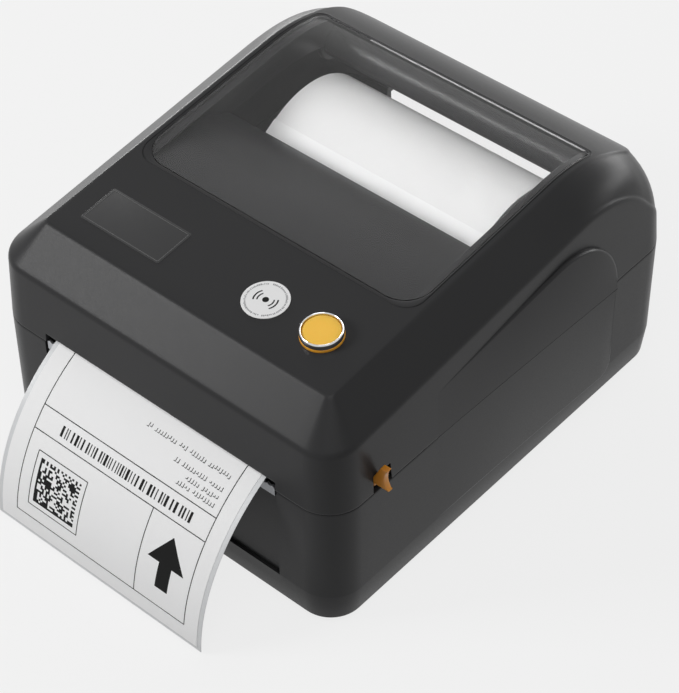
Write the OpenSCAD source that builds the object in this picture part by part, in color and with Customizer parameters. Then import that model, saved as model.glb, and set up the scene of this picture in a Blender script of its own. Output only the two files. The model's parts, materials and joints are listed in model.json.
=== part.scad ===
// Desktop thermal label printer: base, clamshell lid, roll compartment, print mechanism.
// Built in a working frame with the front wall at y = 0, then centred by seat().

/* [Body] */
// Width of the base and the lid across their side walls
body_w = 170.7; // [160:1:190]
// Depth of the base from its front wall to its rear wall
body_d = 202.3; // [196:1:240]
// Height of the parting line between base and lid above the surface
parting_z = 60.4; // [58:1:64]
// Corner radius of the walls in plan
corner_r = 15; // [8:1:20]
// Wall thickness of the base and the lid
wall = 2.5; // [2:0.25:3.5]
// Gap between the lid's edge and the base's edge
lid_gap = 0.5; // [0.3:0.1:1]
// Height of the feet under the base
foot_h = 2.5; // [2:0.5:5]
// How far the skirt at the bottom of the base draws in
skirt_in = 1.4; // [0.5:0.1:2]
// Height of that skirt
skirt_h = 13; // [6:1:18]
// How proud the side pads stand at their rear edge
pad_out = 3.6; // [1:0.2:5]

/* [Lid] */
// Height of the front bevel's lower edge above the parting line
bevel_low = 28.3; // [22:0.5:34]
// Height of the front bevel's upper edge above the parting line
bevel_top = 43.1; // [38:0.5:50]
// Inset of the bevel's upper edge from the walls
bevel_in = 15; // [10:0.5:20]
// How far the lid's walls lean in up to the bevel
lean_in = 1.2; // [0.5:0.1:3]
// Slope of the top behind the bevel, in degrees
top_slope = 5.65; // [4:0.25:7]
// Depth position of the hump's crest
crest_y = 148; // [138:1:156]
// Radius of the hump
hump_r = 70; // [60:1:90]
// Thickness of the clear window
window_t = 2.5; // [1.5:0.25:3]
// Half width of the window
window_hw = 66.8; // [60:0.2:67]
// Depth position of the window's front edge
window_y = 63.4; // [60:1:70]
// Depth position of the window's rear edge
window_back = 168.5; // [160:0.5:172]
// Largest lid opening angle, in degrees
lid_open = 80; // [60:5:85]

/* [Labels] */
// Width of the label web
web_w = 106; // [80:1:108]
// Thickness of the liner that carries the labels
web_t = 0.15; // [0.1:0.01:0.3]
// Thickness of the printed label on the liner
label_t = 0.12; // [0.08:0.01:0.2]
// Margin of bare liner beside the label
label_margin = 2; // [1:0.5:4]
// Outer radius of the label roll
roll_r = 36.4; // [25:0.5:38]
// Depth position of the roll's axis
roll_y = 143.6; // [140:0.5:146]
// Height of the roll's axis above the surface
roll_z = 62.1; // [58:0.5:64]
// Inner radius of the roll's cardboard core
core_r = 12.8; // [12:0.2:19]
// Bend radius of the printed label outside the slot
curl_r = 74; // [72:1:76]
// Clearance of the label's tip above the surface
tip_gap = 0.9; // [0.5:0.1:6]

/* [Mechanism] */
// Radius of the rubber platen
platen_r = 8; // [7:0.25:9]
// Radius of the platen's steel shaft
shaft_r = 3; // [2.5:0.25:4]
// Depth position of the nip where the head meets the platen
nip_y = 12; // [11:0.5:13]
// Gear module
gear_m = 0.8; // [0.6:0.1:1]
// Teeth on the platen gear
platen_teeth = 24; // [20:1:28]
// Teeth on the idler gear
idler_teeth = 32; // [28:1:36]
// Teeth on the motor pinion
pinion_teeth = 16; // [14:1:18]
// Running clearance between a shaft and its bore
run_gap = 0.05; // [0.03:0.01:0.1]
// Clearance of screws and fixed pins in their holes
fit_gap = 0.04; // [0.02:0.01:0.1]
// Outer radius of the feed button's ring
ring_r = 8.1; // [7:0.1:9]
// Travel of the feed button
button_travel = 1.2; // [0.8:0.1:2]
// Radius of the round label on the lid
disc_r = 9; // [7:0.5:11]
// Width of the name plate
plate_w = 40; // [30:1:44]
// Depth of the name plate
plate_d = 18.5; // [12:0.5:20]

/* [Hidden] */

$fn = 64;
eps = 0.01;
plastic = "#3c3c3e";
amber = "#f2a93b";
steel = "#b9bcc0";
white = "#f4f4f2";

// Heights worked out from the driving dimensions
base_h = parting_z - foot_h;
lid_z = parting_z + lid_gap;
half_w = body_w / 2;
low_z = parting_z + bevel_low;
top_z = parting_z + bevel_top;
bevel_y = bevel_in + 1.1;

// Label path: an arc outside the slot, tangent to the platen at the nip
curl_y = 37;
curl_z = tip_gap + 0.1 - 2;
nip_a = asin((curl_y - nip_y) / curl_r);
curl_n = 56;
tip_a = acos((tip_gap - curl_z) / curl_r);
label_end = (tip_a - nip_a) / curl_n;
web_gap = 0.15;
platen_off = curl_r - web_t / 2 - web_gap - platen_r;
head_off = platen_r + 2 * web_gap + web_t + label_t;
platen_y = curl_y - platen_off * sin(nip_a);
platen_z = curl_z + platen_off * cos(nip_a);

// Hinge axis behind the rear wall, at the parting line
hinge_y = body_d + 2.8;
knuckle_r = 3.8;
hinge_pin_r = 1.5;
slot_hw = 58;
knuckle_x = 59;
knuckle_w = 3.3;
knuckle_step = 3.6;
knuckle_n = 3;

// Latch axis inside the side walls, and the striker rod it hooks over
latch_y = 25;
latch_z = 50;
latch_pin_r = 2;
striker_y = 20;
striker_z = 65.5;
striker_r = 1.5;
hook_x = half_w - 14.15;
hook_t = 3;
lever_x = half_w - 10.95;
lever_t = 5;
fin_y = 21.8;
fin_t = 2.4;

// Gear train beside the left cheek
idler_r = gear_m * idler_teeth / 2;
platen_gear_r = gear_m * platen_teeth / 2;
pinion_r = gear_m * pinion_teeth / 2;
mesh_gap = 0.08;
idler_dir = -45;
pinion_dir = -75;
idler_y = platen_y + (platen_gear_r + idler_r + mesh_gap) * cos(idler_dir);
idler_z = platen_z + (platen_gear_r + idler_r + mesh_gap) * sin(idler_dir);
motor_y = idler_y + (idler_r + pinion_r + mesh_gap) * cos(pinion_dir);
motor_z = idler_z + (idler_r + pinion_r + mesh_gap) * sin(pinion_dir);
gear_x = -67.6;
gear_w = 4.6;
cheek_x = 58.5;
cheek_t = 2.5;
cheek_y = 62.6;
rib_t = 1.4;
motor_size = 35;
motor_depth = 20;

// Deck, roll compartment and sliding guides
deck_z = 61.5;
deck_t = 2.5;
deck_y = 27;
tray_hw = half_w - 3.35;
floor_z = 20;
well_y0 = 102;
well_y1 = body_d - 18.3;
well_hw = half_w - 15.35;
rod_y = 79;
rod_z = 68.2;
rod_r = 2.5;
guide_y = 74;
guide_z = 55.8;
rack_h = 2.8;
rack_m = 1;
rack_teeth = 12;
rack_r = rack_m * rack_teeth / 2;
rack_bar = 3;
rack_gap = 0.1;
sensor_y = 45;
edge_gap = 0.4;
arm_z = 16.6;
arm_t = 3;
hub_len = 12;

// Front controls on the sloping top
plate_x = -40.7;
plate_y = 34.8;
disc_x = 22.4;
disc_y = 36.2;
button_x = 49.4;
button_y = 35.8;

// The part stands on z = 0, centred in x and y on its own bounding box
front_reach = (curl_r + web_t / 2 + label_t) * sin(tip_a - label_end) - curl_y;
rear_reach = hinge_y + knuckle_r;
module seat() translate([0, (front_reach - rear_reach) / 2, 0]) children();

// ---------- Shared shapes ----------

// Plan outline with round corners, drawn with exact arcs
module round_rect(w, y0, y1, r) {
    translate([-w / 2 + r, y0]) square([w - 2 * r, y1 - y0]);
    translate([-w / 2, y0 + r]) square([w, y1 - y0 - 2 * r]);
    for (sx = [-1, 1], y = [y0 + r, y1 - r]) translate([sx * (w / 2 - r), y]) circle(r);
}

// Slab of that outline, drawn in from the body's walls
module slab(inset, z0, z1) {
    translate([0, 0, z0]) linear_extrude(z1 - z0)
        round_rect(body_w - 2 * inset, inset, body_d - inset, max(1, corner_r - inset));
}

// Side profile in (y, z) swept along x, centred
module profile(w) {
    translate([-w / 2, 0, 0]) rotate([90, 0, 90]) linear_extrude(w) children();
}

// Cylinder along x, from x0 to x1
module rod(x0, x1, y, z, r) {
    translate([x0, y, z]) rotate([0, 90, 0]) cylinder(h = x1 - x0, r = r);
}

// Outer top line of the lid: a slope, then the hump's arc
arc_y = crest_y - hump_r * sin(top_slope);
crest_z = top_z + (arc_y - bevel_y) * tan(top_slope) + hump_r * (1 - cos(top_slope));
function top_at(y) = y < arc_y ? top_z + (y - bevel_y) * tan(top_slope)
    : crest_z - hump_r + sqrt(hump_r * hump_r - pow(min(y, crest_y + hump_r - 1) - crest_y, 2));

// Lower bevel line on the side walls: it rises, crests and drops towards the rear
low_slope = 6.2;
low_r = 47;
low_arc_y = crest_y - low_r * sin(low_slope);
low_crest_z = low_z + (low_arc_y - lean_in) * tan(low_slope) + low_r * (1 - cos(low_slope));
low_end = crest_y + 37;
function low_arc(y) = low_crest_z - low_r + sqrt(low_r * low_r - pow(y - crest_y, 2));
function low_at(y) = y < low_arc_y ? low_z + (max(y, lean_in) - lean_in) * tan(low_slope)
    : y < low_end ? low_arc(y) : low_arc(low_end) - (y - low_end) * 1.08;

// One closed loop of the lid's skin, as plan points with round corners
function quarter(cx, cy, r, a0) = [for (i = [0:6]) [cx + r * cos(a0 + i * 15), cy + r * sin(a0 + i * 15)]];
function side(x, ys) = [for (y = ys) [x, y]];
function loop(x, y0, y1, rf, rb) = let (ys = [for (i = [0:15]) arc_y + i * (y1 - rb - arc_y) / 16])
    concat(quarter(x - rf, y0 + rf, rf, -90), side(x, ys),
    quarter(x - rb, y1 - rb, rb, 0), quarter(-x + rb, y1 - rb, rb, 90),
    side(-x, [for (i = [15:-1:0]) ys[i]]), quarter(-x + rf, y0 + rf, rf, 180));

// Convex hull of a list of points
module hull_of(points) {
    hull() polyhedron(points, [for (i = [1:len(points) - 2]) [0, i, i + 1]]);
}

// The lid's body, drawn in by t on every side, with broken edges beside both bevel lines
brk = 1.2;
function lid_loops(t, z0) = let (w = half_w - t, h = half_w - lean_in - t * 0.9, u = half_w - bevel_in - t * 0.4,
    yf = bevel_y + t * 0.4, yr = body_d - 5 - t)
    [[loop(w, t, body_d - t, corner_r - t * 0.6, corner_r - t * 0.6), -1, z0],
    [loop(h, lean_in + t * 0.9, body_d - lean_in - t * 0.9, corner_r - 1, corner_r - 1), 0, -brk - t * 0.4],
    [loop(h - brk, lean_in + t * 0.9 + brk, body_d - lean_in - t * 0.9 - 0.4, corner_r - 2, corner_r - 1.5), 0,
        brk * 0.85 - t * 0.4],
    [loop(u + brk, yf - brk, yr + 0.5, 3.5, 12.5), 1, -brk * 0.85 - t],
    [loop(u - brk, yf + brk, yr - 0.8, 1.6, 11.5), 1, -t]];
function lid_height(kind, y) = kind < 0 ? 0 : kind < 1 ? low_at(y) : top_at(y);
module lid_body(t, z0) {
    hull_of([for (l = lid_loops(t, z0), p = l[0]) [p[0], p[1], lid_height(l[1], p[1]) + l[2]]]);
}

// Arch-shaped pad on a side wall, thicker towards the rear
pad_top = [[70, 85], [132, 94.6]];
pad_tilt = 2.34;
pad_foot = foot_h + skirt_h;
pad_rear = 163;
pad_r = 7;
module pad(s) {
    intersection() {
        translate([s > 0 ? half_w - 2.2 : -half_w - 12, 0, 0]) rotate([90, 0, 90]) linear_extrude(14.2) {
            polygon([[70, pad_foot], [pad_rear - pad_r, pad_foot], [pad_rear, pad_foot + pad_r], [pad_rear, 62],
                pad_top[1], pad_top[0]]);
            translate([pad_rear - pad_r, pad_foot + pad_r]) circle(pad_r);
            translate([132, 63.6]) circle(31);
        }
        translate([s * half_w, 75, 0]) rotate([0, 0, -s * pad_tilt])
            translate([s > 0 ? -20 : 0, -30, 0]) cube([20, 180, 120]);
    }
}

// Spur gear outline: involute flanks on radial roots
gear_pa = 20;
function involute(rb, r) = let (t = sqrt(max(0, r * r / (rb * rb) - 1)) * 180 / PI) t - atan(t * PI / 180);
module gear_2d(n, m, slack) {
    r = m * n / 2;
    rb = r * cos(gear_pa);
    ro = r + 0.8 * m;
    rr = r - 1.1 * m;
    half = 90 / n + involute(rb, r) - slack / r * 90 / PI;
    radii = [for (i = [0:4]) max(rb, rr) + (ro - max(rb, rr)) * i / 4];
    polygon([for (k = [0:n - 1]) let (c = 360 * k / n) each concat(
        [[rr * cos(c - half), rr * sin(c - half)]],
        [for (q = radii) q * [cos(c - half + involute(rb, q)), sin(c - half + involute(rb, q))]],
        [for (i = [4:-1:0]) radii[i] * [cos(c + half - involute(rb, radii[i])),
            sin(c + half - involute(rb, radii[i]))]],
        [[rr * cos(c + half), rr * sin(c + half)]])]);
}

// Gear on an x axis, turned to angle a in the side view, with a bore
module side_gear(n, y, z, a, x0, w, bore) {
    difference() {
        translate([x0, y, z]) rotate([90, 0, 90]) linear_extrude(w) rotate(a) gear_2d(n, gear_m, 0.14);
        rod(x0 - 1, x0 + w + 1, y, z, bore);
    }
}

// Rack teeth along x, pointing to +y, pitch line at y = 0
module rack_2d(x0, n) {
    p = PI * rack_m;
    h = 0.7 * rack_m;
    d = 1.1 * rack_m;
    w = p / 4 - 0.09;
    translate([x0 - p / 2, -d - 3]) square([p * n, 3]);
    for (i = [0:n - 1]) translate([x0 + i * p, 0])
        polygon([[-w - d * tan(gear_pa), -d - eps], [w + d * tan(gear_pa), -d - eps],
            [w - h * tan(gear_pa), h], [-w + h * tan(gear_pa), h]]);
}

// Coil spring along z, swept as one polyhedron
coil_n = 8;
function coil_ring(r, wire, rise, lead, i) = let (a = i * 22.5) [for (j = [0:coil_n - 1]) let (b = 360 * j / coil_n)
    [(r + wire * cos(b)) * cos(a) + wire * sin(b) * sin(lead) * sin(a),
    (r + wire * cos(b)) * sin(a) - wire * sin(b) * sin(lead) * cos(a), wire + rise * i + wire * sin(b) * cos(lead)]];
module coil(r, wire, h, turns) {
    n = turns * 16;
    rise = (h - 2 * wire) / n;
    lead = atan(rise * 16 / (2 * PI * r));
    points = [for (i = [0:n]) each coil_ring(r, wire, rise, lead, i)];
    walls = [for (i = [0:n - 1], j = [0:coil_n - 1]) let (k = (j + 1) % coil_n)
        [i * coil_n + j, (i + 1) * coil_n + j, (i + 1) * coil_n + k, i * coil_n + k]];
    polyhedron(points, concat([[for (j = [0:coil_n - 1]) j]], walls,
        [[for (j = [coil_n - 1:-1:0]) n * coil_n + j]]));
}

// Flat-topped screw standing on z = 0 and pointing down
module screw(r, head_r, head_h, length) {
    difference() {
        union() {
            cylinder(h = head_h, r = head_r);
            translate([0, 0, -length]) cylinder(h = length + eps, r = r);
        }
        for (a = [0, 90]) rotate(a) translate([-head_r * 0.6, -0.35, head_h - 0.6]) cube([head_r * 1.2, 0.7, 1]);
    }
}

// Coordinates on the sloping front part of the lid's top, with z along its normal
module on_top(x, y) translate([x, y, top_at(y)]) rotate([top_slope, 0, 0]) children();

// Coordinates at distance d from the platen's axis towards the head, y along the label's path
module at_nip(d) translate([0, platen_y - d * sin(nip_a), platen_z + d * cos(nip_a)])
    rotate([nip_a, 0, 0]) children();

// ---------- Label path ----------

web_r = platen_r + web_gap + web_t / 2;
rod_web_r = rod_r + web_gap + label_t + web_t / 2;
roll_web_r = roll_r + web_gap + web_t / 2;
rod_dist = norm([rod_y - platen_y, rod_z - platen_z]);
roll_dist = norm([roll_y - rod_y, roll_z - rod_z]);
flat_a = atan((rod_z - platen_z) / (rod_y - platen_y)) - asin((web_r + rod_web_r) / rod_dist);
rise_a = atan((roll_z - rod_z) / (roll_y - rod_y)) + asin((roll_web_r + rod_web_r) / roll_dist);
function steps(a, b, n) = [for (i = [0:n]) a + (b - a) * i / n];
function curl(s, o) = [curl_y - (curl_r + o) * sin(s), curl_z + (curl_r + o) * cos(s)];
function web_line(o) = concat([for (s = steps(tip_a, nip_a, curl_n)) curl(s, o)],
    [for (s = steps(nip_a - 3, flat_a, 9)) [platen_y - (web_r + o) * sin(s), platen_z + (web_r + o) * cos(s)]],
    [for (s = steps(flat_a, rise_a, 14)) [rod_y + (rod_web_r - o) * sin(s), rod_z - (rod_web_r - o) * cos(s)]],
    [[roll_y - (roll_web_r + o) * sin(rise_a), roll_z + (roll_web_r + o) * cos(rise_a)]]);
function back(points) = [for (i = [len(points) - 1:-1:0]) points[i]];

module label_web() {
    color(white) profile(web_w) polygon(concat(web_line(-web_t / 2), back(web_line(web_t / 2))));
}

module printed_label() {
    span = steps(tip_a - label_end, nip_a + label_end, curl_n - 2);
    color(white) profile(web_w - 2 * label_margin) polygon(concat([for (s = span) curl(s, web_t / 2)],
        back([for (s = span) curl(s, web_t / 2 + label_t)])));
}

module label_roll() {
    color(white) difference() {
        rod(-web_w / 2, web_w / 2, roll_y, roll_z, roll_r);
        rod(-web_w, web_w, roll_y, roll_z, core_r + 1.6);
    }
}

module roll_core() {
    color("#b89468") difference() {
        rod(-web_w / 2, web_w / 2, roll_y, roll_z, core_r + 1.6);
        rod(-web_w, web_w, roll_y, roll_z, core_r);
    }
}

// ---------- Base ----------

recess_in = 1.3;
recess_hw = 58.5;
cover_t = 2.5;
cover_z = foot_h + cover_t;
port_y = body_d - wall;
usb_x = 26;
jack_x = -42;
switch_x = 52;
switch_z = 25;
board_z = 9;
board_t = 1.6;
board_top = board_z + board_t;
screw_x = half_w - 8.85;
screw_y0 = 22;
screw_y1 = 180;
rear_slot_z = 43.5;

module base_outer() {
    slab(0, foot_h + skirt_h, parting_z);
    hull() {
        slab(skirt_in, foot_h, foot_h + eps);
        slab(0, foot_h + skirt_h - 0.1, foot_h + skirt_h);
    }
}

// Side plates that carry the platen's bearings, the motor and the idler
bush_r = 5;
cheek_h = 52;
cheek_reach = half_w - wall - skirt_in - 0.1;
module cheek(x) {
    y0 = wall + skirt_in;
    difference() {
        translate([x, 0, 0]) rotate([90, 0, 90]) linear_extrude(cheek_t) {
            translate([y0, cover_z]) square([cheek_y - y0, cheek_h]);
            translate([platen_y, platen_z]) circle(8);
            translate([platen_y - 7, 50]) square([14, platen_z - 50]);
        }
        rod(x - 1, x + cheek_t + 1, platen_y, platen_z, bush_r);
    }
    translate([x > 0 ? x : -cheek_reach, cheek_y - rib_t, cover_z]) cube([cheek_reach - cheek_x, rib_t, cheek_h - 1]);
}

module side_plates() {
    color("#6a6c70") difference() {
        union() {
            cheek(cheek_x);
            cheek(-cheek_x - cheek_t);
        }
        // Motor pilot, motor screws and idler post
        rod(-cheek_x - cheek_t - 1, -cheek_x + 1, motor_y, motor_z, pilot_r + 0.05);
        for (dy = [-1, 1], dz = [-1, 1])
            rod(-cheek_x - cheek_t - 1, -cheek_x + 1, motor_y + dy * motor_hole, motor_z + dz * motor_hole, 1.5 + fit_gap);
        rod(-cheek_x - cheek_t - 1, -cheek_x + 1, idler_y, idler_z, post_r + fit_gap);
    }
}

module hinge_knuckles(first) {
    for (s = [-1, 1], k = [first:2:knuckle_n - 1]) {
        x0 = s * knuckle_x + (s > 0 ? 0 : -knuckle_w) + s * k * knuckle_step;
        difference() {
            union() {
                rod(x0, x0 + knuckle_w, hinge_y, parting_z, knuckle_r);
                translate([x0, body_d - wall + 0.6, first > 0 ? parting_z + lid_gap : parting_z - knuckle_r])
                    cube([knuckle_w, hinge_y - body_d + wall - 0.6, knuckle_r - (first > 0 ? lid_gap : 0)]);
            }
            rod(x0 - 1, x0 + knuckle_w + 1, hinge_y, parting_z, hinge_pin_r + (first > 0 ? run_gap : 0));
        }
    }
}

// Room in one shell for the other shell's knuckles
module hinge_room(first) {
    for (s = [-1, 1], k = [first:2:knuckle_n - 1]) {
        x0 = s * knuckle_x + (s > 0 ? 0 : -knuckle_w) + s * k * knuckle_step;
        rod(x0 - 0.3, x0 + knuckle_w + 0.3, hinge_y, parting_z, knuckle_r + 0.4);
    }
}

module base_shell() {
    color(plastic) {
        difference() {
            union() {
                difference() {
                    union() {
                        base_outer();
                        intersection() {
                            union() {
                                pad(1);
                                pad(-1);
                            }
                            translate([-150, 0, 0]) cube([300, 300, parting_z]);
                        }
                    }
                    slab(wall, foot_h + skirt_h, parting_z + 1);
                    slab(wall + skirt_in, foot_h - 1, foot_h + skirt_h + eps);
                }
                // Thicker front wall behind the recessed panel
                translate([-62, wall - eps, cover_z + 0.4]) cube([124, recess_in, parting_z - cover_z - 2.4]);
                // Ledges under the media tray
                for (s = [-1, 1], y = [66, 128, 172])
                    translate([s > 0 ? tray_hw - 4 : -half_w + 1, y, 30]) cube([half_w - tray_hw + 3, 4, deck_z - deck_t - 30]);
                // Bosses for the bottom screws and for the latch pins
                for (s = [-1, 1], y = [screw_y0, screw_y1])
                    translate([s * screw_x, y, cover_z + 0.1]) cylinder(h = 14, r = 5.6);
                for (s = [-1, 1]) rod(s > 0 ? 79.8 : -83, s > 0 ? 83 : -79.8, latch_y, latch_z, 2.8);
            }
            // Recessed front panel
            translate([-recess_hw, -1, foot_h + skirt_h]) cube([2 * recess_hw, 1 + recess_in, 60]);
            // Rear slot for fan-fold labels
            translate([-slot_hw, body_d - 10, rear_slot_z]) cube([2 * slot_hw, 20, 30]);
            hinge_room(1);
            // Holes of the latch pins and the bottom screws
            for (s = [-1, 1]) rod(s > 0 ? 70 : -83.5, s > 0 ? 83.5 : -70, latch_y, latch_z, latch_pin_r + fit_gap);
            for (s = [-1, 1], y = [screw_y0, screw_y1])
                translate([s * screw_x, y, cover_z - 1]) cylinder(h = 13, r = 1.5 + fit_gap);
            // Rear ports
            translate([usb_x - 6.3, port_y - 2, board_top]) cube([12.6, 10, 11.2]);
            translate([jack_x - 4.8, port_y - 2, board_top]) cube([9.6, 10, 11.2]);
            translate([switch_x - 9.7, port_y - 2, switch_z - 6.4]) cube([19.4, 10, 12.8]);
        }
        hinge_knuckles(0);
    }
}
motor_hole = 13;
pilot_r = 11;
post_r = 2.5;

module bottom_cover() {
    color(plastic) difference() {
        union() {
            slab(wall + skirt_in + 0.2, foot_h, cover_z);
            for (sx = [-1, 1], y = [114, 176])
                translate([sx * 54, y, cover_z - eps]) cylinder(h = board_z - cover_z + eps, r = 3.2);
        }
        for (s = [-1, 1], y = [screw_y0, screw_y1]) translate([s * screw_x, y, 0]) {
            cylinder(h = 10, r = 1.6);
            cylinder(h = foot_h + 1.6, r = 3.2);
        }
        for (i = [0:6]) translate([-36 + i * 12 - 1.5, 70, 0]) cube([3, 30, 10]);
    }
}

module rubber_feet() {
    color("#202020") for (sx = [-1, 1], y = [22, 180]) translate([sx * 62, y, 0]) {
        cylinder(h = foot_h - 0.6, r1 = 7.2, r2 = 8);
        translate([0, 0, foot_h - 0.6]) cylinder(h = 0.6, r = 8);
    }
}

module bottom_screws() {
    color(steel) for (s = [-1, 1], y = [screw_y0, screw_y1])
        translate([s * screw_x, y, foot_h + 1.6]) rotate([180, 0, 0]) screw(1.5, 2.9, 1.4, 12);
}

module tear_bar() {
    teeth = 48;
    half = slot_hw - 0.6;
    pitch = 2 * half / teeth;
    color(steel) {
        translate([-half, 0.3, parting_z - 3]) cube([2 * half, recess_in - 0.3, 3.6]);
        translate([0, 0.3, 0]) rotate([90, 0, 0]) mirror([0, 0, 1]) linear_extrude(recess_in - 0.3)
            polygon(concat([[half, parting_z + 0.5], [-half, parting_z + 0.5]],
                [for (i = [0:teeth - 1]) each [[-half + i * pitch, parting_z + 0.7],
                    [-half + (i + 0.5) * pitch, parting_z + 1.5]]], [[half, parting_z + 0.7]]));
    }
}

module media_tray() {
    color("#2c2c2e") difference() {
        union() {
            translate([-62, deck_y, deck_z - deck_t]) cube([124, 24, deck_t]);
            translate([-tray_hw, 46, deck_z - deck_t]) cube([2 * tray_hw, body_d - 60.3, deck_t]);
            translate([-well_hw - 2.5, well_y0 - 2.5, floor_z]) cube([2 * well_hw + 5, well_y1 - well_y0 + 5, deck_z - floor_z - 1]);
            translate([-slot_hw + 0.5, well_y1, rear_slot_z - 2.5]) cube([2 * slot_hw - 1, body_d - wall - well_y1 - 0.4, 2.5]);
            for (s = [-1, 1]) translate([s > 0 ? 66 : -69, rod_y - 4, deck_z - 1]) cube([3, 8, 13]);
            translate([0, guide_y, guide_z - 1]) cylinder(h = deck_z - guide_z, r = 2);
            translate([0, roll_y, arm_z - 1]) cylinder(h = 5, r = 2);
        }
        translate([-well_hw, well_y0, floor_z + 2.5]) cube([2 * well_hw, well_y1 - well_y0, 60]);
        // Way out to the rear slot
        translate([-slot_hw + 0.5, well_y1 - 1, rear_slot_z]) cube([2 * slot_hw - 1, 30, 30]);
        for (s = [-1, 1]) rod(s > 0 ? 65 : -70, s > 0 ? 70 : -65, rod_y, rod_z, rod_r);
        // Slots for the sensor, the label guides and the roll arms
        translate([-46, sensor_y - 1.8, deck_z - 5]) cube([92, 3.6, 10]);
        for (s = [-1, 1]) {
            y = guide_y + rack_side(s) * (rack_r + 1.1 + rack_bar / 2);
            translate([s > 0 ? 53.2 : -62.5, y - 1.6, deck_z - 5]) cube([9.3, 3.2, 10]);
            ya = roll_y + rack_side(s) * (rack_r + 1.1 + rack_bar / 2);
            translate([s > 0 ? 56.6 : -69.4, ya - 1.6, floor_z - 2]) cube([12.8, 3.2, 10]);
        }
    }
}
function rack_side(s) = -s;

module guide_rod() {
    color(steel) rod(-69, 69, rod_y, rod_z, rod_r);
}

// ---------- Platen and gear train ----------

module platen_rubber() {
    color("#1c1c1e") difference() {
        rod(-55, 55, platen_y, platen_z, platen_r);
        rod(-56, 56, platen_y, platen_z, shaft_r);
    }
}

module platen_shaft() {
    color(steel) rod(gear_x - 1, 64, platen_y, platen_z, shaft_r);
}

platen_turn = 0;
function mesh(beta, phi, na, nb) = 180 + beta + (beta - phi) * na / nb + 180 / nb;
idler_turn = mesh(idler_dir, platen_turn, platen_teeth, idler_teeth);
pinion_turn = mesh(pinion_dir, idler_turn, idler_teeth, pinion_teeth);

module platen_gear() {
    color("#e8e4da") side_gear(platen_teeth, platen_y, platen_z, platen_turn, gear_x, gear_w, shaft_r);
}

module platen_bushings() {
    color("#d8d4c8") for (s = [-1, 1]) difference() {
        union() {
            rod(s > 0 ? cheek_x : -cheek_x - cheek_t, s > 0 ? cheek_x + cheek_t : -cheek_x, platen_y, platen_z, bush_r);
            rod(s > 0 ? cheek_x - 1 : -cheek_x, s > 0 ? cheek_x : -cheek_x + 1, platen_y, platen_z, bush_r + 1.2);
        }
        rod(-70, 70, platen_y, platen_z, shaft_r + run_gap);
    }
}

module idler_gear() {
    color("#e8e4da") side_gear(idler_teeth, idler_y, idler_z, idler_turn, gear_x, gear_w, post_r + run_gap);
}

module idler_post() {
    color(steel) {
        rod(-cheek_x - cheek_t - 8.4, -cheek_x - 0.1, idler_y, idler_z, post_r);
        rod(gear_x - 1.3, gear_x - 0.3, idler_y, idler_z, 4);
    }
}

module stepper_motor() {
    color("#303236") difference() {
        union() {
            profile_box(-cheek_x, motor_depth);
            rod(-cheek_x - 2, -cheek_x + 1, motor_y, motor_z, pilot_r);
        }
        rod(-cheek_x - 5, -cheek_x + motor_depth - 2, motor_y, motor_z, 2.5 + run_gap);
        for (dy = [-1, 1], dz = [-1, 1])
            rod(-cheek_x - 1, -cheek_x + 6, motor_y + dy * motor_hole, motor_z + dz * motor_hole, 1.5 + fit_gap);
    }
}
module profile_box(x, w) {
    translate([x, motor_y, motor_z]) rotate([90, 0, 90]) linear_extrude(w) intersection() {
        square(motor_size, center = true);
        rotate(45) square(motor_size * 1.28, center = true);
    }
}

module motor_shaft() {
    color(steel) rod(gear_x, -cheek_x + motor_depth - 3, motor_y, motor_z, 2.5);
}

module motor_pinion() {
    color("#c9a23e") side_gear(pinion_teeth, motor_y, motor_z, pinion_turn, gear_x, gear_w, 2.5);
}

module motor_screws() {
    color(steel) for (dy = [-1, 1], dz = [-1, 1])
        translate([-cheek_x - cheek_t, motor_y + dy * motor_hole, motor_z + dz * motor_hole])
            rotate([0, -90, 0]) screw(1.5, 2.6, 1.2, 7);
}

// ---------- Electronics ----------

module main_board() {
    color("#1f5c3a") {
        translate([-60, 108, board_z]) cube([120, 90, board_t]);
    }
    color("#242426") {
        translate([-10, 130, board_top]) cube([14, 14, 1.6]);
        translate([22, 134, board_top]) cube([10, 12, 1.4]);
        translate([-40, 128, board_top]) cube([9, 9, 3]);
        for (x = [-52, -20, 8, 40]) translate([x, 168, board_top]) cube([6, 5, 2]);
        for (x = [-24, -12]) translate([x, 192, board_top]) cylinder(h = 14, r = 4);
        translate([-52, 110, board_top]) cube([18, 6, 4.5]);
        translate([26, 110, board_top]) cube([24, 5, 4.5]);
    }
}

module usb_port() {
    color(steel) difference() {
        translate([usb_x - 6, port_y - 12, board_top]) cube([12, 14, 10.8]);
        translate([usb_x - 4.6, port_y - 8, board_top + 1.4]) cube([9.2, 12, 8]);
    }
    color("#f0f0ee") translate([usb_x - 2.8, port_y - 9, board_top + 4]) cube([5.6, 9, 3]);
}

module power_jack() {
    color("#1e1e20") difference() {
        translate([jack_x - 4.5, port_y - 11, board_top]) cube([9, 13, 10.8]);
        translate([jack_x, port_y + 3, board_top + 6]) rotate([90, 0, 0]) cylinder(h = 10, r = 3.2);
    }
    color(steel) translate([jack_x, port_y + 1, board_top + 6]) rotate([90, 0, 0]) cylinder(h = 9, r = 1);
}

rocker_y = body_d + 1.2;
rocker_r = 8.2;
module switch_housing() {
    color("#1e1e20") difference() {
        union() {
            translate([switch_x - 9.5, port_y - 10, switch_z - 6.25]) cube([19, 10 + wall + 0.2, 12.5]);
            translate([switch_x - 10.8, body_d, switch_z - 7.6]) cube([21.6, 1.6, 15.2]);
        }
        translate([switch_x - 8.9, port_y - 7, switch_z - 5.3]) cube([17.8, 20, 10.6]);
        translate([switch_x, rocker_y - 4.5, switch_z - 6.6]) cylinder(h = 13.2, r = 0.85);
    }
}

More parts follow.
